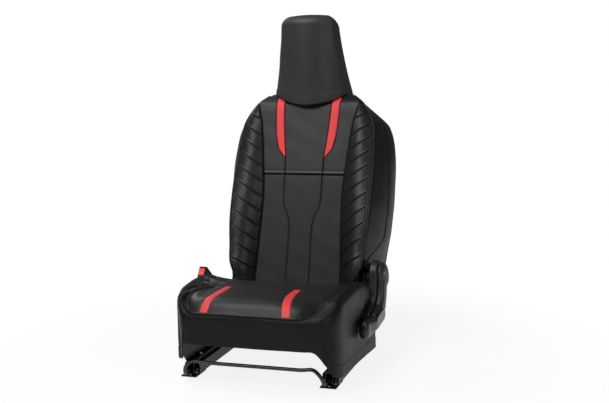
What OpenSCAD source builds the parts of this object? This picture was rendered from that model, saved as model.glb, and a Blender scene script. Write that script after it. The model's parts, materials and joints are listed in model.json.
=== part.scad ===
// Reclining car seat with a built-in headrest, a sports-style leatherette cover and slide rails.
// Millimetres. X runs across the seat, the seat faces -Y, Z is up.
// The origin is on the floor, at the centre of the four floor bolts.

/* [Rails] */
// Distance between the centre lines of the two slide rails
rail_gauge = 392; // [380:1:400]
// Outer width of a lower rail
rail_width = 44; // [44:1:48]
// Height of a lower rail above its feet
rail_height = 28; // [28:0.5:30]
// Sheet thickness of both rails
rail_wall = 2; // [1.8:0.1:2.2]
// Length of a lower rail
rail_length = 372; // [364:1:384]
// Sheet thickness of the floor feet
foot_wall = 3; // [2.5:0.5:4]
// Fore and aft distance between the floor bolts
floor_bolt_span = 400; // [396:1:410]
// Diameter of the floor bolt holes
floor_bolt_hole = 11; // [9:0.5:12]
// Diameter of the rail balls
ball_d = 7.8; // [7:0.1:7.9]
// Pitch of the lock notches along the rail lips
notch_pitch = 10; // [8:1:12]

/* [Cushion frame] */
// Sheet thickness of the side members
side_wall = 2.5; // [2:0.1:3]
// Height of the side members above the upper rails
side_height = 110; // [100:1:114]
// Diameter of the front and rear cross tubes
cross_tube_d = 26; // [22:1:27]
// Wire diameter of the cushion springs
spring_wire = 3.6; // [3:0.1:4]
// Diameter of the frame bolts
frame_bolt_d = 8; // [6:1:8]
// Diameter of the slide release bar
bar_d = 10; // [8:0.5:10]
// Forward reach of the release bar from its pivot
bar_reach = 142; // [132:1:150]

/* [Cushion] */
// Width over the side skirts
seat_width = 486; // [482:1:492]
// Forward reach of the cushion from the floor origin
cushion_front = 309; // [300:1:320]
// Height of the middle of the cushion above the floor
cushion_top = 240; // [232:1:248]
// Height of the lower edge of the front skirt
skirt_clearance = 119; // [112:1:126]
// Thickness of the foam-backed top cover
cover_pad = 10; // [6:1:12]
// Thickness of the skirt
skirt_wall = 3; // [2:0.5:3.5]
// Width of the red stripes
stripe_width = 22; // [18:1:32]
// Diameter of the piping
piping_d = 5; // [4:0.5:6]

/* [Recliner] */
// Fore and aft place of the recliner pivot
pivot_y = 190; // [189:1:196]
// Height of the recliner pivot
pivot_z = 212; // [210:1:216]
// Diameter of the pivot bolts
pivot_d = 12; // [10:0.5:13]
// Thickness of the recliner plates
plate_wall = 4; // [3:0.5:4]
// Radius of the tooth tips of the sector
sector_r = 56; // [54:0.5:57]
// Number of teeth in a full circle of the sector
sector_teeth = 96; // [80:4:110]
// Reach of the recliner lever from its shaft to its tip
lever_reach = 160; // [150:1:170]
// Wall thickness of the recliner lever
lever_wall = 4; // [3:0.5:5]
// Wall thickness of the plastic shields
shield_wall = 3; // [2:0.25:3.5]

/* [Backrest] */
// Backward tilt of the backrest from the vertical
back_angle = 15.4; // [14:0.2:17]
// Greatest width of the backrest
back_width = 516; // [506:1:522]
// Height of the shoulders above the pivot
shoulder_height = 556; // [552:1:562]
// Depth from the middle of the front face to the rear corners
back_depth = 120; // [117:1:126]
// Forward reach of the front face from the pivot
back_face = 25.3; // [24:0.1:27]
// Thickness of the foam-backed back cover
back_pad = 6; // [5:0.5:7]
// Diameter of the back frame tube
frame_tube_d = 25; // [22:1:25]
// Wire diameter of the back springs
back_wire = 3; // [2:0.5:4]
// Number of ribs on each bolster
rib_count = 12; // [8:1:14]

/* [Headrest] */
// Height of the top of the headrest above the pivot
head_top = 785; // [770:1:800]
// Half width of the headrest at its hem
head_half_width = 125; // [120:1:130]
// Thickness of the headrest hood
hood_wall = 8; // [6:0.5:9]

/* [Belt buckle] */
// Length of the buckle housing
buckle_length = 62; // [56:1:68]
// Width of the buckle housing
buckle_width = 36; // [34:1:40]
// Thickness of the buckle housing
buckle_thick = 22; // [20:1:22]
// Diameter of the buckle anchor bolt
anchor_d = 11; // [10:0.5:12]

/* [Hidden] */

gap = 0.3;                       // clearance of a seated piece
rail_x = rail_gauge / 2;
rail_half = rail_width / 2;
rail_base = foot_wall;           // underside of a lower rail
rail_top = rail_base + rail_height;
hat_half = 11;                   // half width of an upper rail's web
hat_top = rail_top + 7.5;
flange_z = rail_base + rail_wall + 4;
upper_span = [-200, 170];
latch_span = [-74, -32];
bar_y = -110;                    // pivot of the release bar
bar_z = 18;
side_x = rail_x + hat_half;      // outer face of a side member
side_z = hat_top + side_wall;    // top of a side member's flange
deck_z = side_z + side_height;   // underside of the cushion pan
foam_z = deck_z + 4;             // underside of the cushion foam
bolt_y = [-130, 0, 120];         // frame bolts along a rail
arm_x = side_x + 3;              // inner face of the outer back arm
plate_x = arm_x + plate_wall + 4;
pawl_at = [pivot_y - 23, pivot_z - 68];
shaft_at = [75, 135];
cushion_rear = 150;
skirt_x = seat_width / 2;
shield_x = skirt_x + 1;
tube_x = side_x - 23;            // back frame tubes
tube_d = 80;
buckle_x = -skirt_x - 13;
anchor_at = [120, 115];
buckle_at = [90, 202];
buckle_tilt = 37;

steel = "dimgray";
trim = "black";
leather = [0.13, 0.13, 0.14];
red = [0.86, 0.16, 0.17];
foam = "khaki";

// ---------- general shapes ----------

// Slides along x, y = height polygon into a plate that is t thick along +X from x.
module plate_yz(x, t, points) {
    translate([x, 0, 0]) rotate([90, 0, 90]) linear_extrude(t) polygon(points);
}

// A plate along +X with rounded corners.
module soft_plate_yz(x, t, points, r) {
    translate([x, 0, 0]) rotate([90, 0, 90]) linear_extrude(t)
        offset(r, $fn = 32) offset(delta = -r) polygon(points);
}

// A solid round bar from x to x + t with radius r at y, z.
module pin_x(x, t, r, y, z) {
    translate([x, y, z]) rotate([0, 90, 0]) cylinder(h = t, r = r, $fn = 48);
}

// A hexagonal head along +X.
module hex_x(x, t, r, y, z) {
    translate([x, y, z]) rotate([0, 90, 0]) cylinder(h = t, r = r, $fn = 6);
}

module both_sides() {
    children();
    mirror([1, 0, 0]) children();
}

// Cubic through the keys [place, value], flat beyond the ends.
function key_at(t, k, i = 0) = i >= len(k) - 2 || t < k[i + 1][0] ? i : key_at(t, k, i + 1);
function key_slope(k, i) =
    let (a = max(i - 1, 0), b = min(i + 1, len(k) - 1))
    (k[b][1] - k[a][1]) / (k[b][0] - k[a][0]);
function curve(t, k) =
    let (
        c = max(k[0][0], min(k[len(k) - 1][0], t)),
        i = key_at(c, k),
        w = k[i + 1][0] - k[i][0],
        u = (c - k[i][0]) / w,
        m0 = key_slope(k, i) * w,
        m1 = key_slope(k, i + 1) * w
    )
    (2 * u ^ 3 - 3 * u ^ 2 + 1) * k[i][1] + (u ^ 3 - 2 * u ^ 2 + u) * m0
    + (3 * u ^ 2 - 2 * u ^ 3) * k[i + 1][1] + (u ^ 3 - u ^ 2) * m1;
function lerp(a, b, t) = a + (b - a) * t;
function spow(v, p) = sign(v) * abs(v) ^ p;

// A closed sheet between two grids of points that have the same rows and columns.
function grid_faces(rows, cols) =
    let (n = rows * cols)
    concat(
        [for (i = [0:rows - 2], j = [0:cols - 2]) let (a = i * cols + j)
            each [[a, a + 1, a + cols + 1], [a, a + cols + 1, a + cols]]],
        [for (i = [0:rows - 2], j = [0:cols - 2]) let (a = n + i * cols + j)
            each [[a, a + cols + 1, a + 1], [a, a + cols, a + cols + 1]]],
        [for (j = [0:cols - 2]) each [[j, n + j, n + j + 1], [j, n + j + 1, j + 1]]],
        [for (j = [0:cols - 2]) let (a = (rows - 1) * cols + j)
            each [[a, a + 1, n + a + 1], [a, n + a + 1, n + a]]],
        [for (i = [0:rows - 2]) let (a = i * cols, b = a + cols)
            each [[a, b, n + b], [a, n + b, n + a]]],
        [for (i = [0:rows - 2]) let (a = i * cols + cols - 1, b = a + cols)
            each [[a, n + a, n + b], [a, n + b, b]]]
    );
module sheet_solid(outer, inner) {
    pts = concat([for (r = outer) each r], [for (r = inner) each r]);
    polyhedron(pts, [for (f = grid_faces(len(outer), len(outer[0]))) [f[0], f[2], f[1]]]);
}

// A closed tube of n sides that follows points, without twisting.
function carry(v, t) = let (w = v - (v * t) * t) w / norm(w);
function rounded_path(p, r, n = 4) = [for (i = [0:len(p) - 1])
    let (
        u = p[max(i - 1, 0)] - p[i],
        v = p[min(i + 1, len(p) - 1)] - p[i],
        k = min(r, norm(u) * 0.45, norm(v) * 0.45)
    )
    each i == 0 || i == len(p) - 1 ? [p[i]]
        : let (a = p[i] + k * u / norm(u), b = p[i] + k * v / norm(v))
            [for (j = [0:n]) let (t = j / n) (1 - t) ^ 2 * a + 2 * t * (1 - t) * p[i] + t ^ 2 * b]];
module tube(points, d, n = 6) {
    m = len(points);
    dirs = [for (i = [0:m - 1])
        let (v = points[min(i + 1, m - 1)] - points[max(i - 1, 0)]) v / norm(v)];
    start = abs(dirs[0][2]) < 0.9 ? [0, 0, 1] : [0, 1, 0];
    sides = [for (i = 0, a = carry(start, dirs[0]); i < m;
        i = i + 1, a = carry(a, dirs[min(i, m - 1)])) a];
    rings = [for (i = [0:m - 1], k = [0:n - 1])
        let (b = cross(dirs[i], sides[i]))
        points[i] + d / 2 * (sides[i] * cos(360 * k / n) + b * sin(360 * k / n))];
    walls = [for (i = [0:m - 2], k = [0:n - 1])
        let (a = i * n + k, b = i * n + (k + 1) % n)
        each [[a, b + n, b], [a, a + n, b + n]]];
    polyhedron(rings, concat(
        walls,
        [for (k = [1:n - 2]) [0, k, k + 1]],
        [for (k = [1:n - 2]) let (e = (m - 1) * n) [e, e + k + 1, e + k]]));
}

// ---------- slide rails ----------

module lower_rail() {
    color(steel) translate([rail_x, 0, 0]) difference() {
        translate([-rail_half, -rail_length / 2, rail_base])
            cube([rail_width, rail_length, rail_height]);
        translate([rail_wall - rail_half, -rail_length / 2 - 1, rail_base + rail_wall])
            cube([rail_width - 2 * rail_wall, rail_length + 2, rail_height - 2 * rail_wall]);
        translate([-12.5, -rail_length / 2 - 1, rail_top - rail_wall - 1])
            cube([25, rail_length + 2, rail_wall + 2]);
        for (k = [0:20]) translate([-15.3, 38 - k * notch_pitch, rail_top - rail_wall - 1])
            cube([30.6, 5, rail_wall + 2]);
        for (y = [-176, -156, 156, 176]) translate([0, y, 0]) cylinder(h = 9, d = 6.1, $fn = 24);
    }
}
module lower_rail_right() lower_rail();
module lower_rail_left() mirror([1, 0, 0]) lower_rail();

module foot(y0, y1, hole) {
    difference() {
        translate([rail_x - rail_half, y0, 0]) cube([rail_width, y1 - y0, foot_wall]);
        translate([rail_x, hole, -1]) cylinder(h = foot_wall + 2, d = floor_bolt_hole, $fn = 48);
        for (s = [-1, 1], k = [156, 176]) translate([rail_x, s * k, -1])
            cylinder(h = foot_wall + 2, d = 6.1, $fn = 24);
    }
}
module front_feet() {
    color(steel) both_sides() foot(-floor_bolt_span / 2 - 14, -142, -floor_bolt_span / 2);
}
module rear_feet() {
    color(steel) both_sides() foot(142, floor_bolt_span / 2 + 14, floor_bolt_span / 2);
}
module foot_rivets() {
    color("silver") both_sides() for (y = [-176, -156, 156, 176]) translate([rail_x, y, 0.1]) {
        cylinder(h = rail_base + rail_wall, d = 6, $fn = 24);
        translate([0, 0, rail_base + rail_wall - 0.05]) cylinder(h = 1.8, d = 10, $fn = 24);
    }
}

module upper_rail() {
    y0 = upper_span[0];
    n = upper_span[1] - y0;
    color(steel) translate([rail_x, y0, 0]) difference() {
        union() {
            translate([-hat_half, 0, flange_z]) cube([2 * hat_half, n, hat_top - flange_z]);
            translate([-18, 0, flange_z]) cube([36, n, rail_wall]);
            for (x = [-18, 16]) translate([x, 0, flange_z]) cube([rail_wall, n, 11.3]);
        }
        translate([rail_wall - hat_half, -1, flange_z - 1])
            cube([2 * (hat_half - rail_wall), n + 2, hat_top - flange_z - 1]);
        translate([-15.6, latch_span[0] - y0 - 4, flange_z - 1])
            cube([31.2, latch_span[1] - latch_span[0] + 8, 22]);
        translate([-20, bar_y - y0, bar_z]) rotate([0, 90, 0])
            cylinder(h = 40, d = 6.1, $fn = 32);
        for (y = bolt_y) translate([0, y - y0, hat_top - 5])
            cylinder(h = 9, d = frame_bolt_d + 0.2, $fn = 32);
    }
}
module upper_rail_right() upper_rail();
module upper_rail_left() mirror([1, 0, 0]) upper_rail();

module rail_glides() {
    color("whitesmoke") both_sides() for (s = [-1, 1], y = [-195, -20, 150])
        translate([rail_x + s * 13.5 - 3.5, y, flange_z - 3.9]) cube([7, 16, 3.8]);
}

ball_rows = [0, 40, 70, 110];
module rail_balls() {
    color("silver") both_sides() for (s = [-1, 1], y = ball_rows)
        translate([rail_x + s * 16, y, rail_top - 6.4]) sphere(d = ball_d, $fn = 24);
}
module ball_cages() {
    e = ball_d / 2 + 0.1;
    color("whitesmoke") both_sides() for (s = [-1, 1], k = [0, 2])
        translate([rail_x + s * 16 - 3, ball_rows[k] + e, rail_top - 9.4])
            cube([6, ball_rows[k + 1] - ball_rows[k] - 2 * e, 6]);
}

// ---------- slide release ----------

module bar_pivot_pins() {
    color("silver") both_sides() pin_x(rail_x - 11.5, 23, 3, bar_y, bar_z);
}
module slide_bar() {
    y = bar_y - bar_reach;
    half = [
        [rail_x, bar_y - 2, bar_z], [rail_x, y + 10, bar_z], [rail_x - 3, y, bar_z + 22],
        [rail_x - 25, y, bar_z + 43], [rail_x - 58, y, bar_z + 38]
    ];
    ends = [for (i = [4:-1:0]) [-half[i][0], half[i][1], half[i][2]]];
    color([0.3, 0.3, 0.31]) difference() {
        union() {
            tube(rounded_path(concat(half, ends), 13), bar_d, 12);
            both_sides() pin_x(rail_x - 8, 16, 7.5, bar_y, bar_z);
        }
        both_sides() pin_x(rail_x - 9, 18, 3.05, bar_y, bar_z);
    }
}
module latch_plates() {
    color("silver") both_sides() translate([rail_x, 0, bar_z - 1.25]) {
        translate([-7, bar_y + 7.8, 0]) cube([14, latch_span[1] - bar_y - 7.8, 2.5]);
        difference() {
            translate([-15, latch_span[0], 0])
                cube([30, latch_span[1] - latch_span[0], rail_top - rail_wall - bar_z + 0.85]);
            translate([-12.7, latch_span[0] - 1, 2.5]) cube([25.4, 60, 20]);
            for (k = [0:3]) translate([-16, latch_span[0] + 4.2 + k * notch_pitch, 2.5])
                cube([32, notch_pitch - 4.2, 20]);
        }
    }
}

// ---------- cushion frame ----------

module side_profile() {
    difference() {
        union() {
            polygon([
                [-200, hat_top], [-238, 78], [-238, 130], [-222, deck_z], [58, deck_z],
                [145, 160], [153, 174], [pivot_y - 26, pivot_z - 10], [pivot_y + 26, pivot_z - 10],
                [pivot_y + 12, 130], [172, 62], [170, hat_top]
            ]);
            translate([pivot_y, pivot_z]) circle(r = 26, $fn = 64);
        }
        translate([pivot_y, pivot_z]) circle(d = pivot_d + 0.1, $fn = 48);
        for (p = recliner_bolt_at) translate(p) circle(d = frame_bolt_d + 0.2, $fn = 32);
        for (y = [-160, -80, 0]) translate([y, 96]) circle(d = 34, $fn = 32);
    }
}
recliner_bolt_at = [[60, 118], [146, 92], pawl_at];
module side_member() {
    color(steel) {
        translate([side_x - side_wall, 0, 0]) rotate([90, 0, 90])
            linear_extrude(side_wall) side_profile();
        difference() {
            translate([rail_x - hat_half, upper_span[0], hat_top])
                cube([2 * hat_half, upper_span[1] - upper_span[0], side_wall]);
            for (y = bolt_y) translate([rail_x, y, hat_top - 1])
                cylinder(h = 9, d = frame_bolt_d + 0.2, $fn = 32);
        }
    }
}
module side_member_right() difference() {
    side_member();
    pin_x(side_x - 9, 18, 6.2, shaft_at[0], shaft_at[1]);
}
module side_member_left() difference() {
    mirror([1, 0, 0]) side_member();
    pin_x(-side_x - 9, 18, anchor_d / 2 + 0.1, anchor_at[0], anchor_at[1]);
}
module front_cross_tube() {
    w = side_x - side_wall - 0.1;
    color(steel) difference() {
        pin_x(-w, 2 * w, cross_tube_d / 2, -215, deck_z - 14);
        pin_x(-w - 1, 2 * w + 2, cross_tube_d / 2 - 2, -215, deck_z - 14);
    }
}
module rear_cross_tube() {
    w = side_x - side_wall - 0.1;
    color(steel) difference() {
        pin_x(-w, 2 * w, cross_tube_d / 2, 131, deck_z - 13.5);
        pin_x(-w - 1, 2 * w + 2, cross_tube_d / 2 - 2, 131, deck_z - 13.5);
    }
}
module cushion_pan() {
    w = side_x - gap;
    color(steel) translate([0, 0, deck_z + gap]) difference() {
        linear_extrude(2.5) polygon([
            [-165, -286], [165, -286], [w, -232], [w, -150], [-w, -150], [-w, -232]
        ]);
        for (x = [-140, -50, 50, 140]) translate([x, -226, -1]) cylinder(h = 5, d = 40, $fn = 32);
    }
}
module cushion_springs() {
    z = foam_z - 0.3 - spring_wire / 2;
    color("silver") for (x = [-120, -40, 40, 120])
        tube(concat(
            [[x, -149, z]],
            [for (k = [0:28]) [x + 16 * sin(90 * k), -138 + k * 8.7, z]],
            [[x, 114, z], [x, 115.6, deck_z - 20]]
        ), spring_wire);
}
module frame_bolts() {
    color("silver") both_sides() for (y = bolt_y) translate([rail_x, y, 0]) {
        translate([0, 0, hat_top - 7]) cylinder(h = 14, d = frame_bolt_d, $fn = 32);
        translate([0, 0, side_z + 0.1]) cylinder(h = 5, d = 13, $fn = 6);
        translate([0, 0, hat_top - 8.2]) cylinder(h = 6, d = 12, $fn = 6);
    }
}

// ---------- cushion ----------

crown_keys = [
    [-310, -8], [-230, -2.5], [-130, 0], [-50, -6], [50, -25], [100, -38], [125, -43],
    [cushion_rear, -47]
];
seam_keys = [
    [-225, -14], [-200, -10], [-140, -8], [-79, -6], [0, -10], [60, -24], [89, -32],
    [123, -49], [cushion_rear, -61]
];
width_keys = [[-225, 188], [-100, 190], [0, 193], [100, 206], [cushion_rear, 210]];
front_keys = [[0, 6], [95, 7.5], [143, 12], [165, 37], [190, 84]];
function seam_x(y) = curve(y, width_keys);
function front_y(x) = curve(abs(x), front_keys) - cushion_front;
function top_z(s, y, e) =
    let (
        c = curve(y, crown_keys),
        k = curve(y, seam_keys),
        roll = max(0, 1 - e / 70) ^ 3,
        a = min(abs(s), 1)
    )
    cushion_top + c + (k - c) * a ^ 3 - 29 * (1 - a ^ 10) * roll;

// A point of the top panel: s runs -1 to 1 across it, t runs 0 to 1 from front to rear.
function top_at(s, t, dz = 0) =
    let (f = front_y(190 * s), y = lerp(f, cushion_rear, t))
    [s * seam_x(y), y, top_z(s, y, y - f) + dz];
top_rows = [0, 0.02, 0.05, 0.1, 0.17, 0.28, 0.42, 0.56, 0.7, 0.82, 0.92, 1];
top_cols = [-1, -0.93, -0.82, -0.62, -0.32, 0, 0.32, 0.62, 0.82, 0.93, 1];

module cushion_top_panel() {
    color(leather) sheet_solid(
        [for (t = top_rows) [for (s = top_cols) top_at(s, t)]],
        [for (t = top_rows) [for (s = top_cols) top_at(s, t, -cover_pad)]]);
}

// Stations round the skirt: 0 at the middle of the front, 8 at the rear of a side.
hem_keys = [
    [0, 0], [2, 0], [2.5, -3], [3, -35], [3.5, -67], [4, -76], [5, -82], [6, -91], [7, -99],
    [8, -105]
];
hem_left_keys = [
    [0, 0], [2, 0], [2.5, -3], [3, -26], [3.5, -48], [4, -58], [5, -68], [6, -72], [7, -76],
    [8, -78]
];
outer_x_keys = [[0, 0], [1, 100], [2, 160], [3, 215], [4, 241], [5, 243], [7, 243], [8, 241]];
// The left side is drawn in towards its rail at the front.
outer_left_keys = [
    [0, 0], [1, 100], [2, 158], [3, 184], [4, 209.5], [5, 238], [6, 243], [7, 243], [8, 241]
];
side_left_keys = [[-245, 209.5], [-200, 225], [-150, 237], [-100, 241], [0, 243], [150, 241]];
function side_out(s, y) = s < 0 ? curve(y, side_left_keys) * skirt_x / 243 : skirt_x;
outer_y_keys = [
    [0, 0], [1, 0.5], [2, 3], [3, 16], [4, 64], [5, 159], [6, 309], [7, 404], [8, 459]
];
seam_station = [[0, 0], [1, 95], [2, 143], [3, 165], [4, 190]];
function station_seam(q) =
    let (a = abs(q), x = curve(a, seam_station), y = curve(a, outer_y_keys) - cushion_front)
    a <= 4 ? [sign(q) * x, front_y(x)]
        : [sign(q) * seam_x(min(y + 20 * max(0, 5 - a), cushion_rear)),
            min(y + 20 * max(0, 5 - a), cushion_rear)];
function station_out(q) =
    let (a = abs(q))
    [sign(q) * curve(a, q < 0 ? outer_left_keys : outer_x_keys) * skirt_x / 243,
        curve(a, outer_y_keys) - cushion_front];
function station_z(q) =
    let (p = station_seam(q), s = abs(q) <= 4 ? abs(p[0]) / 190 : 1)
    top_z(s, p[1], 0);
rows_out = [0, 0.35, 0.7, 0.93, 1, 1, 1];
rows_front = [0, -4, -9, -17, -30];
rows_side = [0, 8, 10, -2, -26];
rows_pitch = [0, 75, 60, 30, 5, 0, 0];
function skirt_at(q, k, o) =
    let (
        a = abs(q),
        w = max(0, min(1, (a - 2) / 2)),
        rear = max(0, min(1, (8 - a) / 2)),
        p = station_seam(q),
        e = station_out(q),
        u = (e - p) / norm(e - p),
        b = p + 3.8 * u,
        r = lerp(b, e, rows_out[k]),
        z0 = station_z(q),
        zh = skirt_clearance + curve(a, q < 0 ? hem_left_keys : hem_keys),
        z4 = z0 + lerp(rows_front[4], rows_side[4], w),
        z = k <= 4 ? z0 + lerp(rows_front[k], rows_side[k] * (k < 3 ? rear : 1), w)
            : k == 5 ? lerp(z4, zh, 0.5) : zh,
        pitch = w * rows_pitch[k]
    )
    [r[0] - u[0] * o * cos(pitch), r[1] - u[1] * o * cos(pitch), z - o * sin(pitch)];
skirt_stations = [for (k = [-16:16]) k / 2];
module cushion_skirt() {
    color(leather) difference() {
        sheet_solid(
            [for (q = skirt_stations) [for (k = [0:6]) skirt_at(q, k, 0)]],
            [for (q = skirt_stations) [for (k = [0:6]) skirt_at(q, k, skirt_wall)]]);
        pin_x(skirt_x - 20, 40, 12, shaft_at[0], shaft_at[1]);
        pin_x(-skirt_x - 20, 40, 15, anchor_at[0], anchor_at[1]);
        translate([plate_x + plate_wall + 2, 100, 92]) cube([40, 80, 140]);
        translate([side_x - 2, 130, 92]) cube([60, 60, 140]);
    }
}
function skirt_seam_point(q) =
    let (p = station_seam(q), e = station_out(q), u = (e - p) / norm(e - p),
        w = max(0, min(1, (abs(q) - 2) / 2)))
    [p[0] + 2.2 * u[0] + (1 - w) * 1.5 * u[0], p[1] + 2.2 * u[1] + (1 - w) * 1.5 * u[1],
        station_z(q) + lerp(2.7, piping_d / 2 + 1.7, w)];
module cushion_welt() {
    color(leather) difference() {
        tube([for (q = skirt_stations) skirt_seam_point(q)], piping_d);
        translate([side_x - 2, 130, 92]) cube([60, 60, 140]);
    }
}

stripe_reach = 0.35;             // share of the panel's length
module cushion_stripes() {
    rows = [for (k = [0:9]) stripe_reach * (k / 9) ^ 1.5];
    color(red) both_sides() sheet_solid(
        [for (t = rows) [for (j = [0:2]) stripe_at(j, t, 1.7)]],
        [for (t = rows) [for (j = [0:2]) stripe_at(j, t, 0.7)]]);
}
function stripe_at(j, t, dz) =
    let (x = lerp(113, 98, (t / stripe_reach) ^ 0.9) + (j - 1) * stripe_width / 2)
    top_at(x / 190, t, dz);

function foam_x(c, y) =
    let (a = abs(c))
    sign(c) * (a <= 1 ? a * (seam_x(y) - 0.4)
        : lerp(seam_x(y), side_out(c, y) - 5.4, (a - 1) / 0.3));
foam_cols = concat([-1.3, -1.2, -1.1], top_cols, [1.1, 1.2, 1.3]);
function foam_top(c, t) =
    let (
        a = abs(c),
        f = front_y(190 * min(a, 1)),
        y = lerp(f + 0.4, cushion_rear - 0.5, t),
        x = foam_x(c, y),
        k = -cover_pad - 0.7,
        rear = max(0, min(1, (cushion_rear - y) / 80))
    )
    [x, y, a <= 1 ? top_z(c, y, y - f) + k
        : max(foam_z + 3, cushion_top + curve(y, seam_keys)
            + [-cover_pad - 0.5, 3 * rear - 4, -22, -31][round((a - 1) * 10)])];
module cushion_foam() {
    top = [for (t = top_rows) [for (c = foam_cols) foam_top(c, t)]];
    low = [for (r = top) [for (p = r) [p[0], p[1], foam_z]]];
    color(foam) difference() {
        sheet_solid(top, low);
        for (s = [-1, 1]) translate([s * (side_x - 1.25) - 2.6, 30, foam_z - 1])
            cube([5.2, 140, 20]);
        for (s = [-1, 1]) translate([s * (side_x - 1.25) - 2.6, 100, foam_z - 1])
            cube([5.2, 60, 80]);
        translate([side_x - 4, 46, foam_z - 1]) cube([26, 60, 16]);
        translate([side_x - 4, 96, foam_z - 1]) cube([40, 60, 80]);
    }
}

// ---------- recliner ----------

function arc_points(r, a0, a1, n) =
    [for (i = [0:n]) r * [cos(lerp(a0, a1, i / n)), sin(lerp(a0, a1, i / n))]];
module recliner_plate() {
    color(steel) difference() {
        union() {
            plate_yz(plate_x, plate_wall, [
                [48, 104], [48, 148], [62, 156], [100, 158], [pivot_y - 20, pivot_z - 8],
                [pivot_y, pivot_z + 5], [pivot_y + 20, pivot_z - 8], [190, 140], [160, 78], [134, 78]
            ]);
            pin_x(plate_x, plate_wall, 26, pivot_y, pivot_z);
        }
        pin_x(plate_x - 1, plate_wall + 2, pivot_d / 2 + 0.05, pivot_y, pivot_z);
        for (p = recliner_bolt_at) pin_x(plate_x - 1, plate_wall + 2, frame_bolt_d / 2 + 0.1, p[0], p[1]);
        pin_x(plate_x - 1, plate_wall + 2, 6.05, shaft_at[0], shaft_at[1]);
    }
}
module ring_x(x, t, r1, r0, p) {
    difference() {
        pin_x(x, t, r1, p[0], p[1]);
        pin_x(x - 1, t + 2, r0, p[0], p[1]);
    }
}
module recliner_spacers() {
    r = frame_bolt_d / 2 + 0.1;
    p = [pivot_y, pivot_z];
    color("silver") {
        for (k = [0, 1]) ring_x(side_x, plate_x - side_x, 8, r, recliner_bolt_at[k]);
        ring_x(side_x, 2.9, 11, pivot_d / 2 + 0.1, p);
        ring_x(arm_x + plate_wall + 0.1, 3.9, 11, pivot_d / 2 + 0.1, p);
        ring_x(-side_x + side_wall, 3.4, 11, pivot_d / 2 + 0.1, p);
        ring_x(side_x, 2.9, 7, r, pawl_at);
        ring_x(arm_x + plate_wall + 0.1, 3.9, 7, r, pawl_at);
    }
}
module recliner_bolts() {
    color("silver") for (p = recliner_bolt_at) {
        pin_x(side_x - side_wall - 0.1, plate_x + plate_wall - side_x + side_wall + 6.2,
            frame_bolt_d / 2, p[0], p[1]);
        hex_x(side_x - side_wall - 5.1, 5, 7.5, p[0], p[1]);
        hex_x(plate_x + plate_wall + 0.1, 5.5, 7.5, p[0], p[1]);
    }
}
module pivot_bolts() {
    x1 = plate_x + plate_wall;
    color("silver") {
        pin_x(side_x - side_wall - 0.2, x1 - side_x + side_wall + 7, pivot_d / 2, pivot_y, pivot_z);
        pin_x(side_x - side_wall - 4.2, 4.1, 10, pivot_y, pivot_z);
        hex_x(x1 + 0.1, 6, 11, pivot_y, pivot_z);
        pin_x(-side_x, 18, pivot_d / 2, pivot_y, pivot_z);
        hex_x(-side_x + side_wall + 8, 6.5, 11, pivot_y, pivot_z);
    }
}

// The pawl reaches from its pin to the sector, and forward under the shaft's finger.
pawl_gap = 0.5;
module recliner_pawl() {
    color("silver") difference() {
        union() {
            pin_x(arm_x, plate_wall, 8, pawl_at[0], pawl_at[1]);
            plate_yz(arm_x, plate_wall, [
                pawl_at + [-3, -5], pawl_at + [-38, 12], [114, 146], [104, 148], [104, 156.1],
                [118, 153.9], [121, 157], [133, 186], [146, 182], pawl_at + [3, 5], pawl_at
            ]);
        }
        pin_x(arm_x - 1, plate_wall + 2, frame_bolt_d / 2 + 0.05, pawl_at[0], pawl_at[1]);
        pin_x(arm_x - 1, plate_wall + 2, sector_r + pawl_gap, pivot_y, pivot_z);
    }
}
module lever_shaft() {
    color("silver") {
        pin_x(side_x - side_wall - 2, shield_x + 42 - side_x + side_wall, 6, shaft_at[0], shaft_at[1]);
        translate([arm_x, shaft_at[0], shaft_at[1]]) rotate([90, 0, 90])
            linear_extrude(plate_wall) union() {
                circle(r = 11, $fn = 48);
                polygon([[-6, 9], [9, 4], [31, 25], [32, 30], [26, 31]]);
            }
    }
}
lever_outline = [
    [-60, -26], [-142, -38], [-154, -34], [-159, -24], [-160, -12], [-157, 4], [-150, 12],
    [-136, 15], [-100, 12], [-66, 9]
];
module recliner_lever() {
    k = lever_reach / 160;
    color(trim) translate([0, shaft_at[0], shaft_at[1]]) difference() {
        union() {
            translate([shield_x + 34, 0, 0]) rotate([90, 0, 90]) linear_extrude(6) union() {
                circle(r = 17, $fn = 64);
                polygon([[-3, 16.5], [-3, -16.5], [-80 * k, -22], [-80 * k, 8]]);
            }
            intersection() {
                translate([shield_x + 5, 0, 0]) rotate([90, 0, 90]) linear_extrude(36)
                    polygon([for (p = lever_outline) [p[0] < -100 ? p[0] * k : p[0], p[1]]]);
                translate([shield_x + 23, 0, -60]) linear_extrude(120) polygon(concat(
                    [for (a = [0:15:180]) [-18 * cos(a) * 1, -160 * k + 14 - 14 * sin(a)]],
                    [[18, -60], [-14, -60], [-18, -70]]));
            }
        }
        translate([shield_x + 5 + lever_wall, -150 * k + lever_wall, -60])
            cube([36 - 2 * lever_wall, 80 * k, 66]);
        pin_x(shield_x + 26, 30, 6.05, 0, 0);
    }
}

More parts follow.
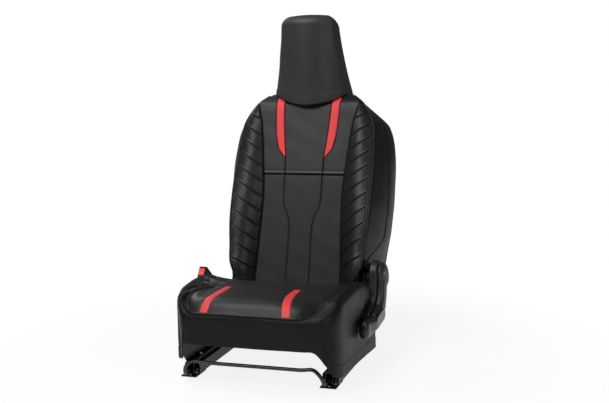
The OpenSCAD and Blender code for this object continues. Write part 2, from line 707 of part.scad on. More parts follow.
shield_outline = [
    [126, 266], [150, 272], [176, 270], [206, 250], [222, 222], [222, 205], [206, 182],
    [164, 168], [143, 126], [120, 112], [60, 104], [26, 108], [18, 120], [24, 142], [40, 152],
    [92, 160], [106, 178], [112, 215], [112, 255]
];
lobe_outline = [
    [130, 262], [150, 267], [174, 265], [202, 247], [217, 221], [217, 208], [203, 188],
    [120, 188], [117, 215], [117, 250]
];
foot_outline = [
    [164, 184], [160, 168], [140, 130], [118, 117], [60, 109], [30, 113], [23, 121],
    [29, 139], [42, 147], [96, 155], [111, 176], [112, 184]
];
neck_outline = concat([[168, 196]], [for (p = foot_outline) if (p[1] < 180) p], [[114, 184], [118, 196]]);
module shell_yz(x, t, points, r, wall) {
    difference() {
        soft_plate_yz(x, t, points, r);
        translate([-1, 0, 0]) plate_in(x, t - wall + 1, points, wall);
    }
}
module plate_in(x, t, points, wall) {
    translate([x, 0, 0]) rotate([90, 0, 90]) linear_extrude(t) offset(delta = -wall) polygon(points);
}
screw_at = [[135, 240], [128, 140]];
post_in = [shield_x + 4, plate_x + plate_wall + 0.1];
post_mid = [shield_x + 9, shield_x + 23];
cap_face = [shield_x + 30, shield_x + 32];
module shield_base() {
    color(trim) difference() {
        union() {
            shell_yz(shield_x, 10, shield_outline, 4, shield_wall);
            difference() {
                soft_plate_yz(shield_x + 9, 15, foot_outline, 4);
                plate_in(shield_x + 5, 16, foot_outline, shield_wall);
            }
            for (k = [0, 1]) pin_x(post_in[k], post_mid[k] - post_in[k], 5, screw_at[k][0], screw_at[k][1]);
        }
        difference() {
            plate_in(shield_x + 6, 6, foot_outline, shield_wall + 0.4);
            pin_x(shield_x, 20, 5, screw_at[1][0], screw_at[1][1]);
        }
        for (p = screw_at) pin_x(plate_x, 70, 2.1, p[0], p[1]);
        pin_x(shield_x - 4, 40, 9, shaft_at[0], shaft_at[1]);
    }
}
module shield_cap() {
    color(trim) difference() {
        union() {
            shell_yz(shield_x + 10.3, 19.7, lobe_outline, 6, shield_wall);
            difference() {
                soft_plate_yz(shield_x + 24.3, 7.7, neck_outline, 4);
                plate_in(shield_x + 20, 12 - shield_wall, neck_outline, shield_wall);
            }
            for (k = [0, 1]) pin_x(post_mid[k] + 1.3, cap_face[k] - post_mid[k] - 2.3, 5,
                screw_at[k][0], screw_at[k][1]);
        }
        pin_x(shield_x - 4, 60, 9, shaft_at[0], shaft_at[1]);
        for (p = screw_at) pin_x(plate_x, 90, 2.1, p[0], p[1]);
    }
}
module shield_screws() {
    color("silver") for (k = [0, 1]) {
        pin_x(cap_face[k] - 26, 26.3, 2, screw_at[k][0], screw_at[k][1]);
        pin_x(cap_face[k] + 0.2, 1.6, 4, screw_at[k][0], screw_at[k][1]);
    }
}

// ---------- backrest, drawn in its own frame: x across, y to the rear, z up the back ----------

module on_back() {
    translate([0, pivot_y, pivot_z]) rotate([-back_angle, 0, 0])
        translate([0, -back_face, 0]) children();
}
back_top = shoulder_height;
seam_half = [
    [-30, 134], [0, 133], [150, 126], [250, 124], [340, 132], [460, 145], [525, 160], [560, 150]
];
pipe_half = [
    [-30, 190], [15, 199], [75, 206], [150, 212], [236, 214], [340, 212], [452, 204],
    [496, 186], [530, 162], [560, 124]
];
pipe_depth = [
    [-30, -38], [15, -42], [75, -36], [150, -35], [236, -25], [340, -5], [452, 12],
    [496, 19], [530, 26], [560, 38]
];
rear_half = [
    [-30, -44], [0, -32], [31, -23], [58, -16], [185, -2], [292, 0], [387, -4], [468, -24],
    [510, -67], [560, -136]
];
bulge_keys = [[-30, 12], [0, 16], [250, 15], [400, 12], [500, 6], [560, 2]];
roll_keys = [[500, 0], [518, 2], [530, 9], [543, 21], [550, 27], [560, 34]];
function up(h) = h * 556 / shoulder_height;
function half_pipe(h) = curve(up(h), pipe_half);
function half_rear(h) = back_width / 2 + curve(up(h), rear_half);
function half_seam(h) = min(curve(up(h), seam_half), half_pipe(h) - 5);
function section(s, h) =
    let (
        a = abs(s),
        g = sign(s),
        b = half_seam(h),
        p = half_pipe(h),
        d = curve(up(h), pipe_depth),
        r = half_rear(h),
        f = curve(up(h), roll_keys),
        t = a - 3
    )
    a <= 1 ? [g * b * a, f - 2 * (1 - a * a)]
    : a <= 2 ? [g * lerp(b, p, a - 1), lerp(f, d, a - 1) - curve(up(h), bulge_keys) * sin(180 * (a - 1))]
    : a <= 3 ? [g * (p + (r - p) * sin(90 * (a - 2))), lerp(d, back_depth, a - 2)]
    : a <= 4 ? [g * (r - 22 + 22 * cos(90 * t)), back_depth + 14 * sin(90 * t)]
    : [g * (r - 22) * (5 - a), back_depth + 14 + 8 * (1 - (5 - a) ^ 2)];
function skin(s, h, o) =
    let (
        p = section(s, h),
        v = [-0.9 * p[0] * max(0, min(0.5, abs(s) - 1.3)), 55 - p[1]],
        q = p + o * v / norm(v)
    )
    [q[0], q[1], h];
module back_shell(ss, hs, o0, o1) {
    on_back() sheet_solid(
        [for (h = hs) [for (s = ss) skin(s, h, o0)]],
        [for (h = hs) [for (s = ss) skin(s, h, o1)]]);
}
function steps(a, b, n) = [for (i = [0:n]) lerp(a, b, i / n)];

module centre_panel_lower() {
    color(leather) back_shell(steps(-0.997, 0.997, 6), steps(-32, 299.7, 7), 0, back_pad);
}
module centre_panel_upper() {
    color(leather) back_shell(steps(-0.997, 0.997, 6),
        concat(steps(300.3, 500, 5), [517, 530, 543, back_top]), 0, back_pad);
}

// Ribs cross each bolster and rise towards its outer edge.
rib_low = -30;
rib_high = 522;
rib_lift = 11;
rib_slope = 0.62;
function rib_h(j, t) =
    let (h = lerp(rib_low, rib_high, j / (2 * rib_count)))
    h + (rib_lift + rib_slope * (half_pipe(h) - half_seam(h)) * (t - 0.5))
        * min(1, (h - rib_low) / 60, (rib_high - h) / 60);
module bolster() {
    ts = [0.005, 0.22, 0.5, 0.8, 0.993];
    rows = [for (j = [0:2 * rib_count]) j];
    on_back() sheet_solid(
        [for (j = rows) [for (t = ts) skin(1 + t, rib_h(j, t),
            (j % 2 == 1 && t > 0.1 && t < 0.9) ? -3 : 0)]],
        [for (j = rows) [for (t = ts) skin(1 + t, rib_h(j, t), back_pad)]]);
}
module bolster_left() color(leather) mirror([1, 0, 0]) bolster();
module bolster_right() color(leather) bolster();

side_rows = concat([-12, 15, 50, 100, 160, 230, 300, 370, 420, 450, 475], steps(496, back_top, 4));
module side_panel() {
    color(leather) difference() {
        back_shell([2.01, 2.15, 2.35, 2.55, 2.78, 2.997], side_rows, 0, back_pad);
        on_back() translate([198, -45, -40]) cube([70, 105, 72]);
        on_back() translate([198, 50, -40]) cube([70, 90, 46]);
    }
}
module side_panel_left() mirror([1, 0, 0]) side_panel();
module side_panel_right() side_panel();
module back_rear_panel() {
    rows = concat([-18, 0], [for (h = side_rows) if (h > 20) h]);
    color(leather) back_shell(
        [3.004, 3.35, 3.7, 4, 4.5, 5, -4.5, -4, -3.7, -3.35, -3.004], rows, 0, back_pad);
}
module back_piping() {
    o = -piping_d / 2 - 0.5;
    color(leather) both_sides() on_back() tube(
        [for (h = concat([-6], [for (k = side_rows) if (k > 0 && k < back_top - 8) k], [back_top - 4]))
            skin(2, h, o)], piping_d);
}
insert_in = [[353, 60], [400, 66], [450, 71], [500, 74], [545, 76]];
insert_out = [[353, 63], [380, 84], [420, 93], [480, 98], [545, 101]];
module back_inserts() {
    rows = [355, 366, 380, 400, 430, 465, 500, 517, 530, 543];
    color(red) both_sides() on_back() sheet_solid(
        [for (h = rows) [for (t = [0, 0.5, 1]) insert_at(h, t, -1.4)]],
        [for (h = rows) [for (t = [0, 0.5, 1]) insert_at(h, t, -0.5)]]);
}
function insert_at(h, t, o) = skin(
    lerp(curve(h, insert_in), curve(h, insert_out), t) / half_seam(h), h, o);

function foam_cols(h) =
    let (d = curve(up(h), pipe_depth), e = (50 - d) / (back_depth - d))
    [2 + e, 2 + 0.5 * e, 2, 1.8, 1.5, 1.22, 1, 0.4];
module back_foam() {
    rows = [-20, 5, 30, 58, 95, 140, 190, 245, 300, 350, 395, 430, 460, 485];
    full = [for (h = rows)
        let (c = foam_cols(h)) concat([for (s = c) -s], [0], [for (i = [7:-1:0]) c[i]])];
    outer = [for (i = [0:len(rows) - 1]) [for (s = full[i]) skin(s, rows[i], back_pad + 2.4)]];
    color(foam) on_back() difference() {
        sheet_solid(outer, [for (r = outer) [for (p = r) [p[0], 58, p[2]]]]);
        for (s = [-1, 1]) translate([s * 210 - 45, -80, -60]) cube([90, 160, 136]);
    }
}

hoop = [
    [tube_x, tube_d, 34], [tube_x, tube_d, 440], [84, tube_d, 520], [72, 76, 560], [60, 0, 684]
];
hoop_path = rounded_path(
    concat(hoop, [for (i = [len(hoop) - 1:-1:0]) [-hoop[i][0], hoop[i][1], hoop[i][2]]]), 40);
module back_frame() {
    color(steel) on_back() tube(hoop_path, frame_tube_d, 10);
}
module back_cross_members() {
    d = tube_d + frame_tube_d / 2 + 0.2;
    color(steel) on_back() for (h = [42, 384]) difference() {
        translate([-190, d, h]) cube([380, 2.5, 44]);
        for (x = [-110, 0, 110]) translate([x, d - 1, h + 22]) rotate([-90, 0, 0])
            cylinder(h = 5, d = 26, $fn = 32);
    }
}
module back_springs() {
    y = 58.4 + back_wire / 2;
    e = tube_x - frame_tube_d / 2 - back_wire / 2 - 0.2;
    color("silver") on_back() for (h = [130, 200, 270, 340]) tube(concat(
        [[-e, tube_d, h], [-156, y + 4, h]],
        [for (k = [0:24]) [-144 + 12 * k, y, h + 14 * sin(90 * k)]],
        [[156, y + 4, h], [e, tube_d, h]]
    ), back_wire);
}
function arm_strap(h) = [[back_face - 19, 4], [back_face - 10, 16], [62, 62], [62, h], [98, h],
    [98, 44], [back_face + 18, -8]];
module back_arm_inner() {
    x = -side_x + side_wall + 3.5;
    color(steel) on_back() difference() {
        union() {
            pin_x(x, plate_wall, 24, back_face, 0);
            plate_yz(x, plate_wall, arm_strap(150));
        }
        pin_x(x - 1, plate_wall + 2, pivot_d / 2 + 0.05, back_face, 0);
    }
}
module back_arm_outer() {
    w0 = -162 + back_angle;
    w1 = -88 + back_angle;
    n = round((w1 - w0) * sector_teeth / 360);
    fan = [for (i = [0:4 * n])
        let (w = w0 + i * 90 / sector_teeth)
        (sector_r - (i % 4 < 2 ? 0 : 2.6)) * [cos(w), sin(w)]];
    color(steel) on_back() {
        translate([arm_x, 0, 0]) rotate([90, 0, 90]) linear_extrude(plate_wall) difference() {
            union() {
                translate([back_face, 0]) circle(r = 24, $fn = 64);
                translate([back_face, 0]) polygon(concat([[0, 0]], fan));
                polygon(arm_strap(150));
            }
            translate([back_face, 0]) circle(d = pivot_d + 0.1, $fn = 48);
        }
        for (h = [80, 130]) pin_x(tube_x + frame_tube_d / 2 + 0.1, arm_x - tube_x - frame_tube_d / 2, 8,
            tube_d, h);
    }
}

// ---------- headrest ----------

head_edge_x = [[557, -8], [581, -17], [653, -31], [745, -44]];
head_edge_d = [[557, 25], [581, 11], [653, -23], [745, -67]];
head_rear_d = [[557, 127], [581, 112], [653, 62], [745, 11]];
head_mid_h = [[557, 510], [581, 546], [653, 640], [745, 745]];
head_mid_d = [[557, -30], [581, -41], [653, -68], [745, -93]];
head_levels = [557, 581, 615, 653, 700, 745];
head_caps = [24, 48, 68, 84];
dome = head_top - 745;
function head_ring(e, cap, o) =
    let (
        x = head_half_width + curve(e, head_edge_x) - 34 * (1 - cos(cap)),
        m = lerp(curve(e, head_edge_d), curve(e, head_rear_d), 0.5),
        k = cos(cap),
        df = m + (curve(e, head_edge_d) - m) * k,
        dr = m + (curve(e, head_rear_d) - m) * k,
        dc = m + (curve(e, head_mid_d) - m) * k,
        hc = curve(e, head_mid_h) + dome * sin(cap) * (dome - o) / dome,
        he = e + dome * sin(cap) * (dome - o) / dome,
        raw = concat(
            [for (i = [-4:4]) let (w = i / 4)
                [x * w, lerp(dc, df, w * w), lerp(hc, he, w * w)]],
            [for (i = [1:3]) let (w = i / 4)
                [x + 6 * k * sin(180 * w) * 0.7 + 3 * w, lerp(df, dr, w), he]],
            [for (i = [3:-1:-3]) let (w = i / 3)
                [(x + 3) * w, dr + lerp(18, 10, min(1, (e - 557) / 60)) * k * (1 - w * w), he]],
            [for (i = [3:-1:1]) let (w = i / 4)
                [-x - 6 * k * sin(180 * w) * 0.7 - 3 * w, lerp(df, dr, w), he]]
        )
    )
    [for (p = raw) let (v = [-0.6 * p[0], m - p[1]], u = v / max(norm(v), 0.001))
        [p[0] + u[0] * o, p[1] + u[1] * o * min(1, norm(v) / (1.5 * o + 0.001)), p[2]]];
function head_rings(o) = concat(
    [for (e = head_levels) head_ring(e, 0, o)],
    [for (c = head_caps) head_ring(745, c, o)]);
function ring_faces(m, n, b, flip) = [for (i = [0:m - 2], j = [0:n - 1])
    let (a = b + i * n + j, c = b + i * n + (j + 1) % n)
    each flip ? [[a, c + n, c], [a, a + n, c + n]] : [[a, c, c + n], [a, c + n, a + n]]];
module headrest_hood() {
    outer = head_rings(0);
    inner = head_rings(hood_wall);
    m = len(outer);
    n = len(outer[0]);
    k = m * n;
    color(leather) on_back() polyhedron(
        concat([for (r = outer) each r], [for (r = inner) each r]),
        concat(
            ring_faces(m, n, 0, true),
            ring_faces(m, n, k, false),
            [[for (j = [n - 1:-1:0]) k - n + j]],
            [[for (j = [0:n - 1]) 2 * k - n + j]],
            [for (j = [0:n - 1]) let (c = (j + 1) % n) each [[j, c, k + c], [j, k + c, k + j]]]
        ));
}
module headrest_foam() {
    rings = head_rings(hood_wall + 0.5);
    m = len(rings);
    n = len(rings[0]);
    mid = [0, 70, 545];
    color(foam) on_back() difference() {
        polyhedron(
            concat([for (r = rings) each r], [mid]),
            concat(
                ring_faces(m, n, 0, true),
                [[for (j = [n - 1:-1:0]) m * n - n + j]],
                [for (j = [0:n - 1]) [j, (j + 1) % n, m * n]]
            ));
        translate([-160, -3, 400]) cube([320, 200, back_top + 0.5 - 400]);
        tube(hoop_path, frame_tube_d + 2.4, 10);
    }
}

// ---------- belt buckle ----------

module buckle_anchor() {
    y = anchor_at[0];
    z = anchor_at[1];
    color("silver") {
        pin_x(buckle_x - 4.6, -side_x + side_wall - buckle_x + 10, anchor_d / 2, y, z);
        difference() {
            pin_x(buckle_x + 1.7, -side_x - buckle_x - 1.8, 11, y, z);
            pin_x(buckle_x, 60, anchor_d / 2 + 0.1, y, z);
        }
        pin_x(buckle_x - 8.6, 6.9, 9.5, y, z);
        hex_x(-side_x + side_wall + 0.1, 7, 9, y, z);
    }
}
module on_buckle() {
    translate([buckle_x, buckle_at[0], buckle_at[1]]) rotate([-buckle_tilt, 0, 0]) children();
}
module buckle_stalk() {
    color(steel) difference() {
        plate_yz(buckle_x - 1.5, 3, concat(
            anchor_ring(180, 360), [[98, 196], [86, 212], [74, 202], [84, 190]]));
        pin_x(buckle_x - 9, 18, anchor_d / 2 + 0.06, anchor_at[0], anchor_at[1]);
    }
}
function anchor_ring(a, b) = [for (p = arc_points(15, a, b, 12)) anchor_at + p];
module buckle_housing() {
    t = buckle_thick / 2;
    w = buckle_width / 2;
    l = buckle_length;
    color(trim) on_buckle() difference() {
        intersection() {
            translate([-t, 0, 0]) rotate([90, 0, 90]) linear_extrude(2 * t) polygon([
                [0, -w + 5], [-6, -w], [-l + 6, -w], [-l, -w + 5], [-l, w - 5], [-l + 6, w],
                [-6, w], [0, w - 5]]);
            translate([0, 0, -w - 1]) linear_extrude(2 * w + 2) polygon([
                [-t, -3], [-t + 3, 0], [t - 3, 0], [t, -3], [t, -l + 3], [t - 3, -l],
                [-t + 3, -l], [-t, -l + 3]]);
        }
        translate([-t + 2, -l + 3, -w + 2.5]) cube([2 * t - 4, l - 7, 2 * w - 5]);
        translate([-9, -l - 1, -12.5]) cube([18, 6, 22]);
        translate([-9, -l - 1, 11]) cube([18, 6, 4.5]);
        translate([-1.7, -8, -w - 1]) cube([3.4, 12, 2 * w + 2]);
    }
}
module buckle_button() {
    color(red) on_buckle() difference() {
        translate([-8.8, -buckle_length - 1, -12.3]) cube([17.6, 16, 21.6]);
        translate([-6.8, -buckle_length + 1, -10.3]) cube([13.6, 20, 17.6]);
    }
}

lower_rail_left();
lower_rail_right();
front_feet();
rear_feet();
foot_rivets();
upper_rail_left();
upper_rail_right();
rail_glides();
ball_cages();
rail_balls();
bar_pivot_pins();
slide_bar();
latch_plates();
side_member_left();
side_member_right();
front_cross_tube();
rear_cross_tube();
cushion_pan();
cushion_springs();
frame_bolts();
cushion_foam();
cushion_top_panel();
cushion_skirt();
cushion_welt();
cushion_stripes();
recliner_plate();
recliner_spacers();
recliner_bolts();
pivot_bolts();
recliner_pawl();
lever_shaft();
recliner_lever();
shield_base();
shield_cap();
shield_screws();
back_frame();
back_cross_members();
back_springs();
back_arm_outer();
back_arm_inner();
back_foam();
centre_panel_upper();
centre_panel_lower();
bolster_left();
bolster_right();
side_panel_left();
side_panel_right();
back_rear_panel();
back_piping();
back_inserts();
headrest_foam();
headrest_hood();
buckle_anchor();
buckle_stalk();
buckle_housing();
buckle_button();
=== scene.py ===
"""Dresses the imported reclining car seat: covers, pads, springs, metal, plastic, floor and light.

X runs across the seat, the seat faces -Y and Z is up. Shapes are worked out in millimetres and
become metres when they turn into meshes, so every piece keeps its place in its own mesh.
"""

from __future__ import annotations

import json
import logging
import math
from collections.abc import Iterable
from dataclasses import dataclass, field, replace
from enum import Enum

import bmesh
import bpy
import numpy as np
from bpy.types import ID, Material, Mesh, Node, NodeSocket, Object, World
from mathutils import Matrix, Vector
from mathutils.geometry import tessellate_polygon

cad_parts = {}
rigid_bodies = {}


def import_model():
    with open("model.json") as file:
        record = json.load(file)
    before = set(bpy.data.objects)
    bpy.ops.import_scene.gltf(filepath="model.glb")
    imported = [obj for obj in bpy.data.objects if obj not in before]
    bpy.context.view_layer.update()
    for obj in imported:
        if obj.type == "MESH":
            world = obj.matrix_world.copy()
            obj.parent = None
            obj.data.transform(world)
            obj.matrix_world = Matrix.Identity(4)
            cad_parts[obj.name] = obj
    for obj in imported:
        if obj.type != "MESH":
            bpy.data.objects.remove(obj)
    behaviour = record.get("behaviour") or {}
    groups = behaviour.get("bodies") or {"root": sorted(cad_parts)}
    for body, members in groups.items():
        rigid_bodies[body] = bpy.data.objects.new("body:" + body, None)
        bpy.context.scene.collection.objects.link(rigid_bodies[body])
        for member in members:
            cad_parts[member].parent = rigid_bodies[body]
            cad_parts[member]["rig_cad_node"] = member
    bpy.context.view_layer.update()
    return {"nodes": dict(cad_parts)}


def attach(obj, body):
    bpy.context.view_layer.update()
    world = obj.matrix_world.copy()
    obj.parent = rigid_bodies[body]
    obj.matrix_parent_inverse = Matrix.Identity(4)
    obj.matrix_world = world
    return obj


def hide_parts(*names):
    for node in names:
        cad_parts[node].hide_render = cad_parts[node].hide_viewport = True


Array = np.ndarray
Values = np.ndarray | float
Pair = tuple[float, float]
Triple = tuple[float, float, float]
LOG = logging.getLogger("car_seat")
MM = 0.001


class Body(str, Enum):
    """The moving bodies that pieces ride on."""

    SEAT = "seat_base"
    BACK = "backrest"
    BAR = "release_bar"
    LEVER = "lever"
    BUCKLE = "buckle"
    BUTTON = "button"


class Slot(str, Enum):
    """The record's material slots, which the roles of new pieces name."""

    FRAME = "frame_steel"
    ZINC = "zinc_steel"
    BAR = "bar_steel"
    BLACK = "leatherette_black"
    PERFORATED = "leatherette_perforated"
    RED = "leatherette_red"
    FOAM = "foam"
    PLASTIC = "plastic_black"
    LEVER = "plastic_lever"
    BUTTON = "button_red"


# -------- numbers and curves


@dataclass(frozen=True)
class Keys:
    """A smooth curve through (place, value) pairs, flat beyond its two ends."""

    pairs: tuple[Pair, ...]

    def __call__(self, t: Values) -> Array:
        """Cubic between two keys, with the slope at a key taken from its two neighbours.

        Args:
            t: Places at which the curve is read.

        Returns:
            The curve's values, in the shape of t.
        """
        k, v = np.asarray(self.pairs, float).T
        last = len(k) - 1
        low = np.maximum(np.arange(len(k)) - 1, 0)
        high = np.minimum(np.arange(len(k)) + 1, last)
        slope = (v[high] - v[low]) / (k[high] - k[low])
        c = np.clip(np.asarray(t, float), k[0], k[-1])
        i = np.clip(np.searchsorted(k, c, side="right") - 1, 0, last - 1)
        w = k[i + 1] - k[i]
        u = (c - k[i]) / w
        return (
            (2 * u**3 - 3 * u**2 + 1) * v[i]
            + (u**3 - 2 * u**2 + u) * slope[i] * w
            + (3 * u**2 - 2 * u**3) * v[i + 1]
            + (u**3 - u**2) * slope[i + 1] * w
        )


def keys(*pairs: Pair) -> Keys:
    """Returns the curve through the given (place, value) pairs."""
    return Keys(tuple(pairs))


def lerp(a: Values, b: Values, t: Values) -> Array:
    """Returns the mix of a and b at share t."""
    return a + (b - a) * t


def ramp(t: Array, low: float, high: float) -> Array:
    """Returns 0 below low, 1 above high and a smooth step between them."""
    u = np.clip((t - low) / (high - low), 0, 1)
    return u * u * (3 - 2 * u)


def bell(distance: Array, width: float) -> Array:
    """Returns a bell curve: 1 at distance 0 and fading to nothing over about twice the width."""
    return np.exp(-((distance / width) ** 2))


def groove(distance: Array, depth: float, width: float) -> Array:
    """Returns a sewn dip: minus depth on the seam, fading as a bell curve of that width."""
    return -depth * bell(distance, width)


def pinched(count: int) -> Array:
    """Returns shares from 0 to 1 that lie closer together at both ends."""
    u = np.linspace(0, 1, count + 1)
    return lerp(u, 0.5 - 0.5 * np.cos(np.pi * u), 0.75)


def between(knots: list[Array], counts: list[int]) -> Array:
    """Columns that run from each knot curve to the next and crowd at the knots.

    Args:
        knots: Curves of one value a row, from left to right.
        counts: How many steps each interval has.

    Returns:
        A grid with one row for each row of the knots.
    """
    parts = [
        lerp(a[:, None], b[:, None], pinched(n)[None, :-1])
        for a, b, n in zip(knots[:-1], knots[1:], counts)
    ]
    return np.concatenate(parts + [knots[-1][:, None]], axis=1)


def ripple(p: Array, wave: float, seed: float) -> Array:
    """Soft unevenness of stretched leatherette: three crossing sine waves of unequal pitch.

    Args:
        p: Points in millimetres, last axis x, y, z.
        wave: Rough length of a wave in millimetres.
        seed: Shifts the waves, so that two panels differ.

    Returns:
        Values between about -1 and 1.
    """
    x, y, z = (2 * np.pi * p[..., k] / wave for k in range(3))
    return (
        np.sin(x + 0.7 * z + seed) * np.cos(0.9 * z - 0.4 * y + 2 * seed)
        + 0.6 * np.sin(1.7 * z + 0.8 * x - 1.3 * seed + 0.5 * y)
        + 0.4 * np.sin(2.6 * x - 1.9 * y + 3.1 * seed)
    ) / 2


# -------- points and paths


def unit(v: Array) -> Array:
    """Returns vectors of length 1 in the directions of v."""
    return v / np.maximum(np.linalg.norm(v, axis=-1, keepdims=True), 1e-9)


def raised(points: Array, rise: Values) -> Array:
    """Returns the points moved up by rise."""
    return points + np.asarray(rise)[..., None] * [0.0, 0.0, 1.0]


def travel(path: Array) -> Array:
    """Returns the length of the path from its start to each of its points."""
    return np.concatenate([[0], np.cumsum(np.linalg.norm(np.diff(path, axis=0), axis=1))])


def read_along(values: Array, run: Array, at: Array) -> Array:
    """Returns the columns of values, which are known at the lengths run, read at other lengths."""
    return np.stack([np.interp(at, run, column) for column in values.T], -1)


def along(path: Array, step: float) -> Array:
    """Returns the path with points at even distances of about step."""
    run = travel(path)
    return read_along(path, run, np.linspace(0, run[-1], max(2, int(run[-1] / step))))


def evened(outline: Array, count: int) -> Array:
    """Points at even distances round a closed outline.

    Args:
        outline: The outline.
        count: How many points it gets.

    Returns:
        The points.
    """
    closed = np.concatenate([outline, outline[:1]])
    run = travel(closed)
    return read_along(closed, run, np.linspace(0, run[-1], count, endpoint=False))


def averaged(outline: Array, reach: int) -> Array:
    """Returns a closed outline whose points are averaged with reach neighbours on each side."""
    rolled = (np.roll(outline, n, 0) for n in range(-reach, reach + 1))
    return sum(rolled) / (2 * reach + 1)


def loop(corners: list[list[float]], count: int, ease: int) -> Array:
    """A closed smooth outline: the corners joined evenly, then averaged with their neighbours.

    Args:
        corners: Corners of the outline, in two dimensions.
        count: Points on the outline.
        ease: Reach of the averaging, in points.

    Returns:
        The outline, turning to the left.
    """
    line = evened(np.asarray(corners, float), count)
    for _ in range(3):
        line = averaged(line, ease)
    x, y = line.T
    turn = (x * np.roll(y, -1) - y * np.roll(x, -1)).sum()
    return line if turn > 0 else line[::-1]


def inward(line: Array, inset: float) -> Array:
    """Returns the outline moved inwards by inset along its normals."""
    ahead = unit(np.roll(line, -1, 0) - np.roll(line, 1, 0))
    return line + inset * np.stack([-ahead[:, 1], ahead[:, 0]], -1)


def turned(profile: Iterable[Pair], count: int) -> Array:
    """Rings of a shape turned about X: one circle for each step of its profile.

    Args:
        profile: Pairs of X and radius.
        count: Points on a circle.

    Returns:
        Rings by points by 3.
    """
    w = np.linspace(0, 2 * np.pi, count, endpoint=False)
    circle = np.stack([0 * w, np.cos(w), np.sin(w)], -1)
    return np.stack([circle * radius + [x, 0, 0] for x, radius in profile])


def rounded(points: list[list[float]], radius: float, steps: int) -> Array:
    """A path whose corners are turned into parabolic bends.

    Args:
        points: The corners of the path.
        radius: Length taken from each side of a corner.
        steps: Pieces in a bend.

    Returns:
        The rounded path.
    """
    p = np.asarray(points, float)
    t = np.linspace(0, 1, steps + 1)[:, None]
    bends = []
    for before, corner, after in zip(p[:-2], p[1:-1], p[2:]):
        u, v = before - corner, after - corner
        k = min(radius, 0.45 * np.linalg.norm(u), 0.45 * np.linalg.norm(v))
        a, b = corner + k * u / np.linalg.norm(u), corner + k * v / np.linalg.norm(v)
        bends.append((1 - t) ** 2 * a + 2 * t * (1 - t) * corner + t**2 * b)
    return np.concatenate([p[:1], *bends, p[-1:]])


def normals(grid: Array, outside: Array) -> Array:
    """Returns the unit normals of a grid, square to its two directions, on its outside."""
    n = unit(np.cross(np.gradient(grid, axis=0), np.gradient(grid, axis=1)))
    return n * np.sign((n * outside).sum(-1).mean())


# -------- meshes


@dataclass
class Form:
    """Points in millimetres with quads and triangles over them."""

    points: Array
    quads: Array = field(default_factory=lambda: np.zeros((0, 4), int))
    tris: Array = field(default_factory=lambda: np.zeros((0, 3), int))

    def __add__(self, other: Form) -> Form:
        """Joins two forms.

        Args:
            other: The second form.

        Returns:
            Both as one.
        """
        n = len(self.points)
        return Form(
            np.concatenate([self.points, other.points]),
            np.concatenate([self.quads, other.quads + n]),
            np.concatenate([self.tris, other.tris + n]),
        )

    def volume(self) -> float:
        """Signed volume: the sum of the tetrahedra from the origin to each face.

        Returns:
            Positive where the faces point outwards.
        """
        q = self.quads
        t = np.concatenate([self.tris, q[:, [0, 1, 2]], q[:, [0, 2, 3]]])
        a, b, c = (self.points[t[:, k]] for k in range(3))
        return float(np.einsum("ij,ij->i", a, np.cross(b, c)).sum() / 6)

    def outward(self) -> Form:
        """Turns a closed form's faces outwards.

        Returns:
            The form.
        """
        if self.volume() >= 0:
            return self
        return Form(self.points, self.quads[:, ::-1], self.tris[:, ::-1])

    def mirrored(self) -> Form:
        """Returns the form reflected across the middle of the seat."""
        return Form(self.points * [-1, 1, 1], self.quads[:, ::-1], self.tris[:, ::-1])

    def both(self) -> Form:
        """Returns the form and its reflection together."""
        return self + self.mirrored()


def joined(forms: Iterable[Form]) -> Form:
    """Returns all forms as one."""
    return sum(forms, Form(np.zeros((0, 3))))


def grid_quads(rows: int, cols: int, wrap_cols: bool = False) -> Array:
    """Quads over a grid of points.

    Args:
        rows: Rows of points.
        cols: Points in a row.
        wrap_cols: Whether the last column joins the first.

    Returns:
        One row of four point numbers a quad.
    """
    i, j = np.meshgrid(
        np.arange(rows - 1), np.arange(cols if wrap_cols else cols - 1), indexing="ij"
    )
    k = (j + 1) % cols
    quad = np.stack([i * cols + j, i * cols + k, (i + 1) * cols + k, (i + 1) * cols + j], -1)
    return quad.reshape(-1, 4)


def fan(ring: Array, tip: int) -> Array:
    """Returns triangles from each step of a ring of point numbers to the tip."""
    return np.stack([ring, np.roll(ring, -1), np.full(len(ring), tip)], -1)


def shell(outer: Array, inner: Array, keep: Array | None = None) -> Form:
    """A closed sheet between two grids, with a rim wherever its outer face ends.

    Args:
        outer: Grid of points on the outside, rows by columns by 3.
        inner: The matching points on the inside.
        keep: Which quads stay, where the sheet has an opening.

    Returns:
        The closed form.
    """
    rows, cols = outer.shape[:2]
    n = rows * cols
    top = grid_quads(rows, cols)
    if keep is not None:
        top = top[keep.reshape(-1)]
    edges = np.concatenate([top[:, [k, (k + 1) % 4]] for k in range(4)])
    key = np.sort(edges, 1)
    _, index, count = np.unique(key, axis=0, return_index=True, return_counts=True)
    rim = edges[index[count == 1]]
    side = np.stack([rim[:, 1], rim[:, 0], rim[:, 0] + n, rim[:, 1] + n], -1)
    used = np.unique(top)
    place = np.full(2 * n, -1)
    place[np.concatenate([used, used + n])] = np.arange(2 * len(used))
    points = np.concatenate([outer.reshape(-1, 3), inner.reshape(-1, 3)])
    quads = place[np.concatenate([top, top[:, ::-1] + n, side])]
    return Form(points[np.concatenate([used, used + n])], quads).outward()


